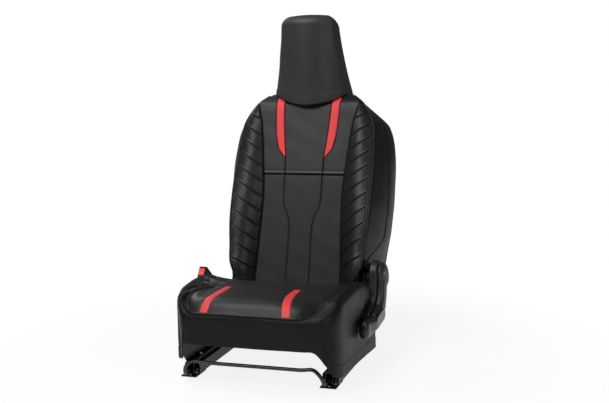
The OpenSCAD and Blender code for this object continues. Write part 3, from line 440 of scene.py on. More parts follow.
def tube(path: Array, radius: Values, sides: int) -> Form:
    """A closed round bar along a path: circles set square to the path, with domed ends.

    Args:
        path: Points along the middle line.
        radius: Radius in millimetres, one number or one a point.
        sides: Points round the bar.

    Returns:
        The closed form.
    """
    ahead = unit(np.gradient(path, axis=0))
    spare = np.eye(3)[np.argmin(np.abs(ahead).max(0))]
    across = unit(np.cross(ahead, spare))
    w = np.linspace(0, 2 * np.pi, sides, endpoint=False)[:, None]
    r = np.broadcast_to(radius, len(path))[:, None, None]
    turn = across[:, None] * np.cos(w) + np.cross(ahead, across)[:, None] * np.sin(w)
    spokes = r * turn

    def dome(end: int, size: float, reach: float) -> Array:
        """Returns the ring at an end, shrunk to size and moved out by a share of the radius."""
        return path[end] + reach * r[end] * ahead[end] + size * spokes[end]

    rings = np.stack(
        [
            dome(0, 0.35, -0.35),
            dome(0, 0.8, -0.2),
            *(path[:, None] + spokes),
            dome(-1, 0.8, 0.2),
            dome(-1, 0.35, 0.35),
        ]
    )
    tips = rings[[0, -1]].mean(1)
    first, count = np.arange(sides), len(rings) * sides
    last = first + count - sides
    caps = np.concatenate([fan(first, count), fan(last, count + 1)[:, [1, 0, 2]]])
    quads = grid_quads(len(rings), sides, True)[:, ::-1]
    return Form(np.concatenate([rings.reshape(-1, 3), tips]), quads, caps).outward()


def stacked(rings: Array) -> Form:
    """A closed form over rings of points, with a flat face on its first and last ring.

    Args:
        rings: Rings by points by 3.

    Returns:
        The closed form.
    """
    m, n = rings.shape[:2]
    points = rings.reshape(-1, 3)
    ahead = rings[-1].mean(0) - rings[0].mean(0)
    caps = []
    for k, out in ((0, -ahead), (m - 1, ahead)):
        cap = np.asarray(tessellate_polygon([[Vector(p) for p in rings[k]]]), int) + k * n
        a, b, c = points[cap.T]
        faces_out = np.cross(b - a, c - a).sum(0) @ out > 0
        caps.append(cap if faces_out else cap[:, ::-1])
    turn = np.cross(rings[:, 1] - rings[:, 0], rings.mean(1) - rings[:, 0]).mean(0)
    quads = grid_quads(m, n, True)
    quads = quads if turn @ ahead > 0 else quads[:, ::-1]
    return Form(points, quads, np.concatenate(caps)).outward()


def prism(line: Array, low: float, high: float) -> Form:
    """Returns a plate between two places in X, from its outline in y and z."""
    return stacked(np.stack([np.insert(line, 0, x, 1) for x in (low, high)]))


def slab(line: Array, low: float, high: float, round_in: float, round_up: float) -> Form:
    """A plate across X whose outer edge is turned over by a quarter ellipse.

    Args:
        line: Outline in y and z.
        low: X of its flat side.
        high: X of its rounded side.
        round_in: Width of the turned edge.
        round_up: Height of the turned edge.

    Returns:
        The closed form.
    """
    chamfer = 0.4
    w = np.linspace(0, np.pi / 2, 10)
    inset = np.concatenate([[chamfer, 0.0], round_in * (1 - np.cos(w))])
    x = np.concatenate([[low, low + chamfer], high - round_up * (1 - np.sin(w))])
    rings = [np.insert(inward(line, float(i)), 0, a, 1) for i, a in zip(inset, x)]
    return stacked(np.stack(rings))


STITCH_LENGTH = 3.4
# Place along the stitch as a share of its length, radius, and height above the cover.
STITCH_RINGS = ((-0.5, 0.15, -0.35), (-0.22, 0.5, 0.1), (0.22, 0.5, 0.1), (0.5, 0.15, -0.35))
STITCH_SIDES = 5


def stitches(path: Array, up: Array, pitch: float = 5.0) -> Form:
    """A row of sewn stitches: small spindles laid along a path, sunk at both ends.

    Args:
        path: Points along the seam.
        up: Direction out of the cover, one for all or one a point.
        pitch: Distance from stitch to stitch.

    Returns:
        All stitches as one form.
    """
    run = travel(path)
    at = np.arange(pitch, run[-1] - pitch, pitch)
    tip = unit(read_along(np.gradient(path, axis=0), run, at))
    rise = read_along(np.broadcast_to(up, path.shape), run, at)
    rise = unit(rise - (rise * tip).sum(1)[:, None] * tip)
    w = np.linspace(0, 2 * np.pi, STITCH_SIDES, endpoint=False)
    share, radius, height = np.array(STITCH_RINGS).T[..., None, None]
    points = (
        read_along(path, run, at)[:, None, None]
        + STITCH_LENGTH * share * tip[:, None, None]
        + radius * np.cos(w)[:, None] * np.cross(tip, rise)[:, None, None]
        + (radius * np.sin(w)[:, None] + height) * rise[:, None, None]
    )
    first = np.arange(len(at))[:, None, None] * len(STITCH_RINGS) * STITCH_SIDES
    quads = grid_quads(len(STITCH_RINGS), STITCH_SIDES, True)[:, ::-1] + first
    ends = first + [[0, 1, 2], [0, 2, 3], [0, 3, 4], [15, 17, 16], [15, 18, 17], [15, 19, 18]]
    return Form(points.reshape(-1, 3), quads.reshape(-1, 4), ends.reshape(-1, 3))


# -------- pieces


def linked(name: str, data: ID) -> Object:
    """Puts a new object into the scene.

    Args:
        name: Name of the object.
        data: What it shows.

    Returns:
        The object.
    """
    obj = bpy.data.objects.new(name, data)
    bpy.context.scene.collection.objects.link(obj)
    return obj


def meshed(name: str, form: Form) -> Object:
    """Makes a form into an object, in metres.

    Args:
        name: Name of the object.
        form: Its shape.

    Returns:
        The new object.
    """
    mesh = bpy.data.meshes.new(name)
    faces = form.quads.tolist() + form.tris.tolist()
    mesh.from_pydata((form.points * MM).tolist(), [], faces)
    mesh.validate()
    return linked(name, mesh)


@dataclass(frozen=True)
class Role:
    """What a piece is in the model."""

    finish: Material
    body: Body
    slot: Slot
    node: str = ""  # the CAD node that it stands for, if any
    fill: float | None = None  # how full it is, where it is a pad
    crease: float = 40.0  # angle in degrees above which an edge stays sharp


class Workshop:
    """Turns forms into finished pieces and keeps count of them."""

    def __init__(self) -> None:
        """Starts with an empty list of pieces."""
        self.made: list[str] = []

    def dress(self, obj: Object, role: Role) -> Object:
        """Gives a finished mesh its material, shading and body, and adds it to the list of pieces.

        Args:
            obj: The mesh object.
            role: What it is in the model.

        Returns:
            The same object.
        """
        mesh = obj.data
        mesh.materials.clear()
        mesh.materials.append(role.finish)
        mesh.polygons.foreach_set("use_smooth", np.ones(len(mesh.polygons), bool))
        mesh.set_sharp_from_angle(angle=math.radians(role.crease))
        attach(obj, role.body.value)
        if role.node:
            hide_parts(role.node)
        self.made.append(obj.name)
        LOG.info("%s: %d faces on %s", obj.name, len(mesh.polygons), role.body.value)
        return obj

    def piece(self, name: str, form: Form, role: Role) -> Object:
        """Returns a new piece of the given form, dressed for its role."""
        return self.dress(meshed(name, form), role)

    def copy_of(self, node: str, name: str) -> Object:
        """Copies a CAD node and merges its loose triangles into faces.

        Args:
            node: The CAD node.
            name: Name of the copy.

        Returns:
            The new object.
        """
        source = next(o for o in bpy.data.objects if o.get("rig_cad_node") == node)
        mesh = source.data.copy()
        mesh.name = name
        work = bmesh.new()
        work.from_mesh(mesh)
        bmesh.ops.remove_doubles(work, verts=work.verts, dist=2e-6)
        bmesh.ops.dissolve_limit(
            work, angle_limit=math.radians(0.6), verts=work.verts, edges=work.edges
        )
        work.to_mesh(mesh)
        work.free()
        return linked(name, mesh)

    def eased(self, width: float, role: Role) -> Object:
        """Replaces a moulded CAD node by a copy with rounded edges.

        Args:
            width: Width of the rounding in millimetres.
            role: What it is in the model.

        Returns:
            The new object.
        """
        obj = self.copy_of(role.node, f"{role.node}_moulded")
        bevel = obj.modifiers.new("edge", "BEVEL")
        bevel.width = width * MM
        bevel.segments = 3
        bevel.limit_method = "ANGLE"
        bevel.angle_limit = math.radians(35)
        bevel.harden_normals = False
        return self.dress(obj, replace(role, crease=50.0))

    def soften(self, obj: Object, voxel: float, ease: int) -> None:
        """Adds the modifiers that grow an object's parts into one skin and smooth it.

        Args:
            obj: The object.
            voxel: Size of the remesh in millimetres.
            ease: Rounds of smoothing.
        """
        remesh = obj.modifiers.new("form", "REMESH")
        remesh.mode = "VOXEL"
        remesh.voxel_size = voxel * MM
        soft = obj.modifiers.new("soft", "SMOOTH")
        soft.factor = 0.5
        soft.iterations = ease

    def settle(self, obj: Object) -> None:
        """Makes the object's mesh what its modifiers show.

        Args:
            obj: The object.
        """
        graph = bpy.context.evaluated_depsgraph_get()
        mesh = bpy.data.meshes.new_from_object(obj.evaluated_get(graph))
        obj.modifiers.clear()
        obj.data = mesh

    def moulded(
        self, name: str, form: Form, cuts: Form, voxel: float, ease: int, role: Role
    ) -> Object:
        """Makes a moulded piece: forms grown into one skin, smoothed, then cut.

        Args:
            name: Name of the piece.
            form: Closed forms that overlap.
            cuts: Closed forms that are taken away.
            voxel: Size of the remesh in millimetres.
            ease: Rounds of smoothing.
            role: What it is in the model.

        Returns:
            The new object.
        """
        obj, cutter = meshed(name, form), meshed(f"{name}_cut", cuts)
        self.soften(obj, voxel, ease)
        cut = obj.modifiers.new("cut", "BOOLEAN")
        cut.operation, cut.solver = "DIFFERENCE", "EXACT"
        cut.object, cut.use_self = cutter, True
        self.settle(obj)
        bpy.data.objects.remove(cutter)
        return self.dress(obj, replace(role, crease=38.0))

    def filled(self, node: str, finish: Material, body: Body) -> Object:
        """Replaces a foam CAD node by a moulded pad with softened corners.

        Args:
            node: The CAD node.
            finish: The material.
            body: The body that it moves with.

        Returns:
            The new object.
        """
        obj = self.copy_of(node, f"{node}_pad")
        self.soften(obj, 6.0, 4)
        self.settle(obj)
        return self.dress(obj, Role(finish, body, Slot.FOAM, node, 0.9, 80.0))


# -------- shader maths


class Wire:
    """A shader value that takes part in arithmetic like a number."""

    def __init__(self, board: Board, socket: NodeSocket) -> None:
        """Holds a socket of a board."""
        self.board, self.socket = board, socket

    def _math(self, operation: str, *row: Wire | float) -> Wire:
        """Adds one Math node.

        Args:
            operation: What it works out.
            row: Its values.

        Returns:
            Its result.
        """
        inputs = dict(enumerate(row))
        node = self.board.node("ShaderNodeMath", {"operation": operation}, inputs)
        return Wire(self.board, node.outputs[0])

    def __add__(self, other: Wire | float) -> Wire:
        """Returns the sum."""
        return self._math("ADD", self, other)

    __radd__ = __add__

    def __mul__(self, other: Wire | float) -> Wire:
        """Returns the product."""
        return self._math("MULTIPLY", self, other)

    __rmul__ = __mul__

    def __sub__(self, other: Wire | float) -> Wire:
        """Returns this value less the other."""
        return self._math("SUBTRACT", self, other)

    def __rsub__(self, other: Wire | float) -> Wire:
        """Returns the other value less this."""
        return self._math("SUBTRACT", other, self)

    def __pow__(self, other: Wire | float) -> Wire:
        """Returns this value raised to the other."""
        return self._math("POWER", self, other)

    def fraction(self) -> Wire:
        """Returns what is left of the value after its whole part."""
        return self._math("FRACT", self)

    def step(self, low: float, high: float) -> Wire:
        """A smooth step of the value.

        Args:
            low: Where it is 0.
            high: Where it is 1.

        Returns:
            The step.
        """
        settings = {"interpolation_type": "SMOOTHSTEP"}
        inputs = {"Value": self, "From Min": low, "From Max": high}
        return Wire(self.board, self.board.node("ShaderNodeMapRange", settings, inputs).outputs[0])


Colour = Triple
Source = Wire | NodeSocket | float | tuple[float, ...]


class Board:
    """The node tree of one material or world."""

    def __init__(self, owner: Material | World) -> None:
        """Gives the owner an empty node tree.

        Args:
            owner: The material or world.
        """
        self.owner = owner
        owner.use_nodes = True
        self.tree = owner.node_tree
        self.tree.nodes.clear()

    def node(
        self,
        kind: str,
        settings: dict[str, object] | None = None,
        inputs: dict[str | int, Source] | None = None,
    ) -> Node:
        """Adds a node, sets it and then fills or links its sockets.

        Args:
            kind: Blender's node type.
            settings: Properties of the node.
            inputs: Values, wires or sockets by the name or number of the input.

        Returns:
            The node.
        """
        made = self.tree.nodes.new(kind)
        for key, value in (settings or {}).items():
            setattr(made, key, value)
        for key, value in (inputs or {}).items():
            socket = made.inputs[key]
            source = value.socket if isinstance(value, Wire) else value
            if isinstance(source, NodeSocket):
                self.tree.links.new(source, socket)
            else:
                socket.default_value = source
        return made

    def place(self) -> tuple[NodeSocket, Wire, Wire, Wire]:
        """Object coordinates.

        Returns:
            The vector, then its three parts.
        """
        vector = self.node("ShaderNodeTexCoord").outputs["Object"]
        parts = self.node("ShaderNodeSeparateXYZ", None, {0: vector}).outputs
        return (vector, *(Wire(self, part) for part in parts))

    def noise(self, vector: NodeSocket, scale: float, detail: float = 3.0) -> Wire:
        """Returns fractal noise of the given scale."""
        inputs = {"Vector": vector, "Scale": scale, "Detail": detail, "Roughness": 0.55}
        return Wire(self, self.node("ShaderNodeTexNoise", None, inputs).outputs[0])

    def cells(self, vector: NodeSocket, scale: float) -> Wire:
        """Distance to the nearest cell centre.

        Args:
            vector: Coordinates.
            scale: Cells in a metre.

        Returns:
            The distance.
        """
        inputs = {"Vector": vector, "Scale": scale, "Randomness": 0.9}
        node = self.node("ShaderNodeTexVoronoi", {"feature": "SMOOTH_F1"}, inputs)
        return Wire(self, node.outputs[0])

    def tint(self, share: Wire, low: Colour, high: Colour | NodeSocket) -> NodeSocket:
        """Returns a colour between low and high by share."""
        inputs = {0: share, 6: (*low, 1.0), 7: (*high, 1.0) if isinstance(high, tuple) else high}
        return self.node("ShaderNodeMix", {"data_type": "RGBA"}, inputs).outputs[2]

    def bump(self, height: Wire, distance: float, strength: float) -> NodeSocket:
        """Returns a normal raised by height, with its distance in millimetres."""
        inputs = {"Height": height, "Distance": distance * MM, "Strength": strength}
        return self.node("ShaderNodeBump", None, inputs).outputs[0]

    def finish(self, **inputs: Source) -> Material:
        """Joins a Principled shader to the output; underscores in names stand for spaces.

        Args:
            inputs: Values or links of its sockets.

        Returns:
            The material.
        """
        named = {k.replace("_", " "): v for k, v in inputs.items()}
        shader = self.node("ShaderNodeBsdfPrincipled", None, named)
        self.node("ShaderNodeOutputMaterial", None, {0: shader.outputs[0]})
        return self.owner


@dataclass(frozen=True)
class Finish:
    """What every finish has: a name, a base colour and a roughness."""

    name: str
    colour: Colour
    roughness: float

    def board(self) -> Board:
        """Returns the empty board of a new material."""
        return Board(bpy.data.materials.new(self.name))

    def shades(self, board: Board, share: Wire, dark: float, light: float) -> NodeSocket:
        """Returns the base colour times dark where share is 0 and times light where it is 1."""
        low, high = (tuple(min(1.0, c * k) for c in self.colour) for k in (dark, light))
        return board.tint(share, low, high)


@dataclass(frozen=True)
class Leatherette(Finish):
    """Grained cover material, with punched holes where it is perforated."""

    grain: float = 1.1  # size of a grain cell in millimetres
    gloss: float = 0.32
    pitch: float = 0.0  # distance between holes in millimetres, 0 for none
    tilt: float = 15.4  # slant of the rows of holes in degrees

    def build(self) -> Material:
        """Cells make the grain, slow noise the wear; holes lie on a slanted lattice, with painted
        shade in them.

        Returns:
            The material.
        """
        b = self.board()
        vector, x, y, z = b.place()
        slow, fine = b.noise(vector, 9.0), b.noise(vector, 160.0, 2.0)
        grain = b.cells(vector, 1000.0 / self.grain)
        height = grain * 0.7 + fine * 0.5
        colour = self.shades(b, slow * 0.7 + grain * 0.5, 0.82, 1.28)
        rough = slow * 0.16 + grain * 0.1 + (self.roughness - 0.12)
        if self.pitch:
            a, rows = math.radians(self.tilt), 1 / (self.pitch * MM)
            up = z * (math.cos(a) * rows) + y * (math.sin(a) * rows)
            across = x * rows
            dots = [
                ((p.fraction() - 0.5) ** 2.0 + (q.fraction() - 0.5) ** 2.0).step(0.022, 0.05)
                for p, q in ((across, up), (across + 0.5, up + 0.5))
            ]
            solid = dots[0] * dots[1]
            height = height * 0.6 + solid * 2.5
            # Painted shade: each hole is coloured near black for the shade inside it.
            colour = b.tint(solid, (0.001, 0.001, 0.001), colour)
            rough = rough + 0.1 - solid * 0.1
        normal = b.bump(height, 0.22, 0.5)
        return b.finish(
            Base_Color=colour, Roughness=rough, Normal=normal, Specular_IOR_Level=self.gloss
        )


@dataclass(frozen=True)
class Steel(Finish):
    """Painted or plated steel with a faint orange peel, rubbed patches and fine scratches."""

    metallic: float = 0.0

    def build(self) -> Material:
        """Noise stretched along the part gives scratches, and slow noise the rubbed patches.

        Returns:
            The material.
        """
        b = self.board()
        vector, *_ = b.place()
        stretch = {0: vector, 3: (900.0, 60.0, 900.0)}
        scratch = b.noise(b.node("ShaderNodeMapping", None, stretch).outputs[0], 1.0, 2.0)
        slow, peel = b.noise(vector, 22.0), b.noise(vector, 420.0, 1.0)
        colour = self.shades(b, slow.step(0.55, 0.72) * 0.5 + scratch * 0.3, 0.85, 1.5)
        rough = slow * 0.18 + scratch * 0.1 + (self.roughness - 0.13)
        normal = b.bump(peel * 0.6 + scratch * 0.4, 0.06, 0.4)
        return b.finish(
            Base_Color=colour, Roughness=rough, Metallic=self.metallic, Normal=normal
        )


@dataclass(frozen=True)
class Plastic(Finish):
    """Moulded plastic with a fine spark-eroded texture, or a smoother gloss."""

    texture: float = 0.5

    def build(self) -> Material:
        """Fine cells give the texture, and slow noise the handling marks.

        Returns:
            The material.
        """
        b = self.board()
        vector, *_ = b.place()
        cells, slow = b.cells(vector, 1500.0), b.noise(vector, 14.0)
        colour = self.shades(b, slow * 0.8 + cells * 0.3, 0.85, 1.35)
        rough = slow * 0.15 + cells * 0.12 + (self.roughness - 0.12)
        normal = b.bump(cells, 0.12, self.texture)
        return b.finish(Base_Color=colour, Roughness=rough, Normal=normal)


@dataclass(frozen=True)
class FoamSkin(Finish):
    """Moulded polyurethane foam: open pores under a yellowed skin."""

    def build(self) -> Material:
        """Two sizes of cells make the pores, and slow noise the yellowing.

        Returns:
            The material.
        """
        b = self.board()
        vector, *_ = b.place()
        pores, small, slow = b.cells(vector, 320.0), b.cells(vector, 900.0), b.noise(vector, 7.0)
        colour = self.shades(b, slow * 0.7 + pores * 0.4, 0.75, 1.15)
        rough = pores * 0.1 + self.roughness
        normal = b.bump(pores * 0.8 + small * 0.5, 0.5, 0.6)
        return b.finish(Base_Color=colour, Roughness=rough, Normal=normal)


class Finishes:
    """All finishes of the seat, built once."""

    def __init__(self) -> None:
        """Builds each material."""
        black, grey = (0.0105, 0.0105, 0.0112), (0.018, 0.018, 0.0188)
        # low is the seat's black painted darker, as painted shade on the skirt; pale is it painted
        # lighter, as painted light on the headrest hood.
        low, pale, steel = (0.0065, 0.0065, 0.007), (0.027, 0.027, 0.028), (0.02, 0.02, 0.021)
        red = (0.69, 0.042, 0.045)
        self.black = Leatherette("leatherette black", black, 0.42).build()
        self.soft = Leatherette("leatherette black smooth", black, 0.36, 0.9).build()
        # The skirt is the same black leatherette with painted shade: a darker colour for its low,
        # forward-facing faces.
        self.skirt = Leatherette("leatherette skirt painted shade", low, 0.44, gloss=0.17).build()
        # The hood is the same black leatherette with painted light: a lighter colour for its lit
        # front.
        self.hood = Leatherette("leatherette headrest painted light", pale, 0.45, 1.0).build()
        self.punched = Leatherette("leatherette perforated", grey, 0.46, pitch=5.8).build()
        self.red = Leatherette("leatherette red", red, 0.5, 1.0).build()
        self.thread = Plastic("sewing thread black", steel, 0.6, 0.3).build()
        self.foam = FoamSkin("seat foam", (0.62, 0.55, 0.34), 0.85).build()
        self.rail = Steel("rail electrocoat", (0.016, 0.016, 0.017), 0.36).build()
        self.frame = Steel("frame paint", steel, 0.42).build()
        self.bar = Steel("release bar gloss", steel, 0.2).build()
        self.zinc = Steel("zinc plate", (0.55, 0.55, 0.53), 0.36, 1.0).build()
        self.ball = Steel("bearing steel", (0.62, 0.62, 0.62), 0.18, 1.0).build()
        self.nylon = Plastic("natural nylon", (0.72, 0.7, 0.62), 0.45, 0.2).build()
        self.plastic = Plastic("shield plastic", (0.014, 0.014, 0.015), 0.46).build()
        self.lever = Plastic("lever plastic", (0.013, 0.013, 0.014), 0.26, 0.12).build()
        self.button = Plastic("button red", (0.75, 0.035, 0.02), 0.3, 0.1).build()


# -------- cushion

# Stations round the skirt run from 0 at the middle of the front past CORNER, where the side
# begins, to SIDE_END at its rear, and are negative on the left. Rows run from 0 at the seam past
# ROLL, below the rolled edge, to HEM.
CORNER, SIDE_END = 4, 8
ROLL, HEM = 4, 6


@dataclass
class CushionCover:
    """Top panel, skirt, sewn edge, tail and stripes of the cushion cover."""

    front: float = 309.0  # distance of the front edge ahead of the origin
    top: float = 240.0  # height of the panel's middle
    rear: float = 150.0  # place of the panel's rear edge
    seam_half: float = 190.0  # half width of the panel at its front corners
    seam_gap: float = 1.2  # distance from the seam to the skirt's first row
    roll: Pair = (70.0, 29.0)  # length and drop of the panel's rolled front
    hem: float = 119.0  # height of the skirt's lower edge at the front
    pad: float = 10.0
    wall: float = 3.0
    stripe: float = 22.0
    stripe_end: float = 0.35  # share of the panel that a stripe reaches
    tuck: float = 12.0  # how far the skirt is drawn in behind the shield
    # Middle line of the shield, as y, z and half width.
    shield: tuple = ((150, 245, 36), (138, 180, 30), (124, 138, 24), (34, 126, 20))
    member: float = 211.0  # outside of the left side member, which the skirt clears
    pulled: float = 8.0  # how far the left edge is pulled up
    ridge: Pair = (3.4, 6.5)  # height and width of a wrinkle
    # Depth and width of the dip in front of it, and its distance.
    trough: Triple = (2.6, 6.0, 11.0)
    draw: Keys = keys((45, 15), (100, 14.5), (145, 11.5), (185, 6), (212, 2))
    lean_right: Keys = keys((0, 113), (0.2, 106), (0.44, 99.5), (0.7, 96), (1, 96))
    lean_left: Keys = keys((0, 114), (0.44, 108), (1, 101))
    crown: Keys = keys(
        (-310, -8), (-230, -2.5), (-130, 0), (-50, -6), (50, -25), (100, -38), (125, -43),
        (150, -47),
    )
    seam: Keys = keys(
        (-225, -14), (-200, -10), (-140, -8), (-79, -6), (0, -10), (60, -24), (89, -32),
        (123, -49), (150, -61),
    )
    width: Keys = keys((-225, 188), (-100, 190), (0, 193), (100, 206), (150, 210))
    nose: Keys = keys((0, 6), (95, 7.5), (143, 12), (165, 37), (190, 84))
    hem_drop: Keys = keys(
        (0, 0), (2, 0), (2.5, -3), (3, -35), (3.5, -67), (4, -76), (5, -82), (6, -91), (7, -99),
        (8, -105),
    )
    hem_left: Keys = keys(
        (0, 0), (2, 0), (2.5, -3), (3, -26), (3.5, -48), (4, -58), (5, -68), (6, -72), (7, -76),
        (8, -78),
    )
    out_x: Keys = keys(
        (0, 0), (1, 100), (2, 160), (3, 215), (4, 241), (5, 243), (7, 243), (8, 241)
    )
    out_left: Keys = keys(
        (0, 0), (1, 100), (2, 158), (3, 184), (4, 209.5), (5, 238), (6, 243), (7, 243), (8, 241)
    )
    out_y: Keys = keys(
        (0, 0), (1, 0.5), (2, 3), (3, 16), (4, 64), (5, 159), (6, 309), (7, 404), (8, 459)
    )
    seam_x: Keys = keys((0, 0), (1, 95), (2, 143), (3, 165), (4, 190))
    reach: Keys = keys((0, 0), (1, 0.35), (2, 0.7), (3, 0.93), (4, 1), (5, 1), (6, 1))
    fall_front: Keys = keys((0, 0), (1, -4), (2, -9), (3, -17), (4, -30))
    fall_side: Keys = keys((0, 0), (1, 8), (2, 10), (3, -2), (4, -26))
    plan_left: Keys = keys(
        (-309, 100), (-306, 158), (-293, 184), (-245, 209.5), (-150, 238), (0, 243), (150, 241)
    )
    pull_fade: Keys = keys((0, 1), (1, 0.2), (2, 0), (6, 0))
    pitch: Keys = keys((0, 0), (1, 75), (2, 60), (3, 30), (4, 5), (5, 0), (6, 0))
    wrinkles: tuple = (
        ((-108, -122), (-150, -134), (-180, -192), (-196, -250)),
        ((-112, -110), (-166, -126), (-206, -176), (-240, -200)),
        ((-112, -102), (-172, -103), (-245, -118)),
        ((-108, -94), (-163, -78), (-212, -42), (-250, -30)),
    )

    def top_z(self, s: Array, y: Array, e: Array) -> Array:
        """Height of the top panel: crown in the middle, seam at the sides, rolled at the front.

        Args:
            s: Share of the way to the side seam, -1 to 1.
            y: Place fore and aft.
            e: Distance behind the front edge.

        Returns:
            Heights in millimetres.
        """
        length, drop = self.roll
        c, k = self.crown(y), self.seam(y)
        a = np.minimum(np.abs(s), 1)
        rolled = np.maximum(0, 1 - e / length) ** 3
        return self.top + c + (k - c) * a**3 - drop * (1 - a**10) * rolled

    def front_y(self, x: Array) -> Array:
        """Returns the front edge of the top panel at x."""
        return self.nose(np.abs(x)) - self.front

    def lift(self, x: Array, y: Array) -> Array:
        """Returns how far the left edge is pulled up, straight to its seam and less at the rear."""
        share = np.clip((-x - 143) / (self.seam_half - 143), 0, 1)
        return self.pulled * share * np.interp(y, (-30, 55), (1, 0))

    def top_at(self, s: Values, t: Values, rise: float = 0.0) -> Array:
        """Points of the top panel.

        Args:
            s: Share across, -1 to 1.
            t: Share from the front edge to the rear.
            rise: Height above the panel.

        Returns:
            Points, last axis x, y, z.
        """
        s, t = np.broadcast_arrays(s, t)
        f = self.front_y(self.seam_half * s)
        y = lerp(f, self.rear, t)
        x = s * self.width(y)
        return np.stack([x, y, self.top_z(s, y, y - f) + self.lift(x, y) + rise], -1)

    def stations(self, q: Array) -> tuple[Array, Array, Array]:
        """Plan of the skirt round the cushion.

        Args:
            q: Stations, negative on the left.

        Returns:
            Seam points, outer points (both x, y) and the seam's height.
        """
        a, g = np.abs(q), np.sign(q)
        ahead = a <= CORNER
        x, y = self.seam_x(a), self.out_y(a) - self.front
        late = np.minimum(y + 20 * np.maximum(0, CORNER + 1 - a), self.rear)
        sx = np.where(ahead, x, self.width(late))
        sy = np.where(ahead, self.front_y(x), late)
        seam = np.stack([g * sx, sy], -1)
        out = np.stack([g * np.where(q < 0, self.out_left(a), self.out_x(a)), y], -1)
        s = np.where(ahead, sx / self.seam_half, 1.0)
        return seam, out, self.top_z(s, sy, np.zeros_like(sy))

    def hem_z(self, q: Array) -> Array:
        """Returns the height of the skirt's lower edge at station q."""
        a = np.abs(q)
        return self.hem + np.where(q < 0, self.hem_left(a), self.hem_drop(a))

    def skirt_at(self, q: Array, k: Values, o: float) -> Array:
        """Points of the skirt: over its rolled edge down to its hem.

        Args:
            q: Stations round the skirt.
            k: Rows from the seam to the hem.
            o: Distance inwards from the outside.

        Returns:
            Points, last axis x, y, z.
        """
        q, k, o = np.broadcast_arrays(q, k, o)
        a = np.abs(q)
        w, rear = np.clip((a - 2) / 2, 0, 1), np.clip((SIDE_END - a) / 2, 0, 1)
        seam, out, z0 = self.stations(q)
        u = unit(out - seam)
        p = lerp(seam + self.seam_gap * u, out, self.reach(k)[..., None])
        keep = lerp(rear, 1.0, np.clip(k - 2, 0, 1))
        drop = lerp(self.fall_front(k), self.fall_side(k) * keep, w)
        drop = drop + self.lift(seam[..., 0], seam[..., 1]) * self.pull_fade(k)
        rolled = z0 + lerp(self.fall_front(ROLL), self.fall_side(ROLL), w)
        hung = lerp(rolled, self.hem_z(q), (k - ROLL) / (HEM - ROLL))
        z = np.where(k <= ROLL, z0 + drop, hung)
        angle = np.radians(w * self.pitch(k))
        flat = p - u * (o * np.cos(angle))[..., None]
        return self.tucked(np.concatenate([flat, (z - o * np.sin(angle))[..., None]], -1))

    def tucked(self, p: Array) -> Array:
        """Draws the skirt in: behind the shield, and on the left towards the side member.

        Args:
            p: Points of the skirt.

        Returns:
            The moved points.
        """
        x, y, z = p[..., 0], p[..., 1], p[..., 2]
        gap = np.full_like(x, 99.0)
        for (ya, za, ra), (yb, zb, rb) in zip(self.shield[:-1], self.shield[1:]):
            dy, dz = yb - ya, zb - za
            t = np.clip(((y - ya) * dy + (z - za) * dz) / (dy**2 + dz**2), 0, 1)
            gap = np.minimum(gap, np.hypot(y - ya - t * dy, z - za - t * dz) - lerp(ra, rb, t))
        right = self.tuck * bell(np.maximum(gap, 0), 24)
        right *= ramp(x, 190, 225) * (1 - ramp(z, 222, 236))
        room = np.maximum(self.plan_left(y) - self.member, 0) + 30 * (1 - ramp(y, -264, -241))
        left = np.minimum(self.draw(z) * ramp(-x, 150, 236), room)
        return np.stack([x - right + left, y, z], -1)

    def folds(self, p: Array) -> Array:
        """Wrinkles that fan out to the left from behind the stripe.

        Each follows a bent line, with a bell of the distance for its ridge and a shallower one for
        the trough in front of it, and grows from nothing at its inner end.

        Args:
            p: Points of the cover.

        Returns:
            Rise in millimetres.
        """
        x, y = p[..., 0], p[..., 1]
        (height, wide), (depth, dip, beside) = self.ridge, self.trough
        total = np.zeros_like(x)
        for line in self.wrinkles:
            near, run, done = np.full_like(x, 99.0), np.zeros_like(x), 0.0
            for (xa, ya), (xb, yb) in zip(line[:-1], line[1:]):
                span = math.hypot(xb - xa, yb - ya)
                c, v = (xb - xa) / span, (yb - ya) / span
                t = np.clip((x - xa) * c + (y - ya) * v, 0, span)
                dx, dy = x - xa - t * c, y - ya - t * v
                gap = np.hypot(dx, dy) * np.where(c * dy - v * dx >= 0, 1, -1)
                closer = np.abs(gap) < np.abs(near)
                near, run = np.where(closer, gap, near), np.where(closer, done + t, run)
                done += span
            shape = height * bell(near, wide) + groove(near - beside, depth, dip)
            total += ramp(run, 2, 45) * shape
        return total

    def swell(self, base: Array, away: Array) -> Array:
        """Returns the padding's unevenness and its swell at a distance from the nearest seam."""
        return 1.5 * (1 - np.exp(-away / 22)) - 0.6 + 0.55 * ripple(base, 130, 0.4)

    def top_panel(self) -> Form:
        """The padded panel: sunk along its seams, wrinkled on the left, low under the bolsters.

        Returns:
            The closed form.
        """
        t = np.concatenate([np.linspace(0, 0.12, 34)[:-1], np.linspace(0.12, 1, 110)])
        s = np.sin(np.linspace(-1, 1, 151) * np.pi / 2)
        tt, ss = np.meshgrid(t, s, indexing="ij")
        base = self.top_at(ss, tt)
        x, y = base[..., 0], base[..., 1]
        edge = (1 - np.abs(ss)) * self.seam_half
        ahead = tt * (self.rear + self.front)
        sewn = 1 - 0.9 * ramp(-x, 0, 40) * ramp(y, -245, -205)
        rise = groove(edge, 3.2, 3.0) * sewn + groove(ahead, 2.6, 3.2)
        rise += groove(ahead - 9, 0.8, 1.3) + groove(edge - 8, 0.8, 1.4) * ramp(ahead, 0, 60) * sewn
        rise += self.swell(base, np.minimum(edge, ahead)) + self.folds(base)
        mid, half = self.stripe_at(tt / self.stripe_end, x)
        rise += groove(np.abs(np.abs(x) - mid) - half, 1.1, 1.6) * (tt < self.stripe_end)
        rise -= 4.5 * ramp(y, 88, 118) * ramp(np.abs(x), 115, 150)
        return shell(raised(base, np.minimum(rise, 5.0)), self.top_at(ss, tt, -self.pad))

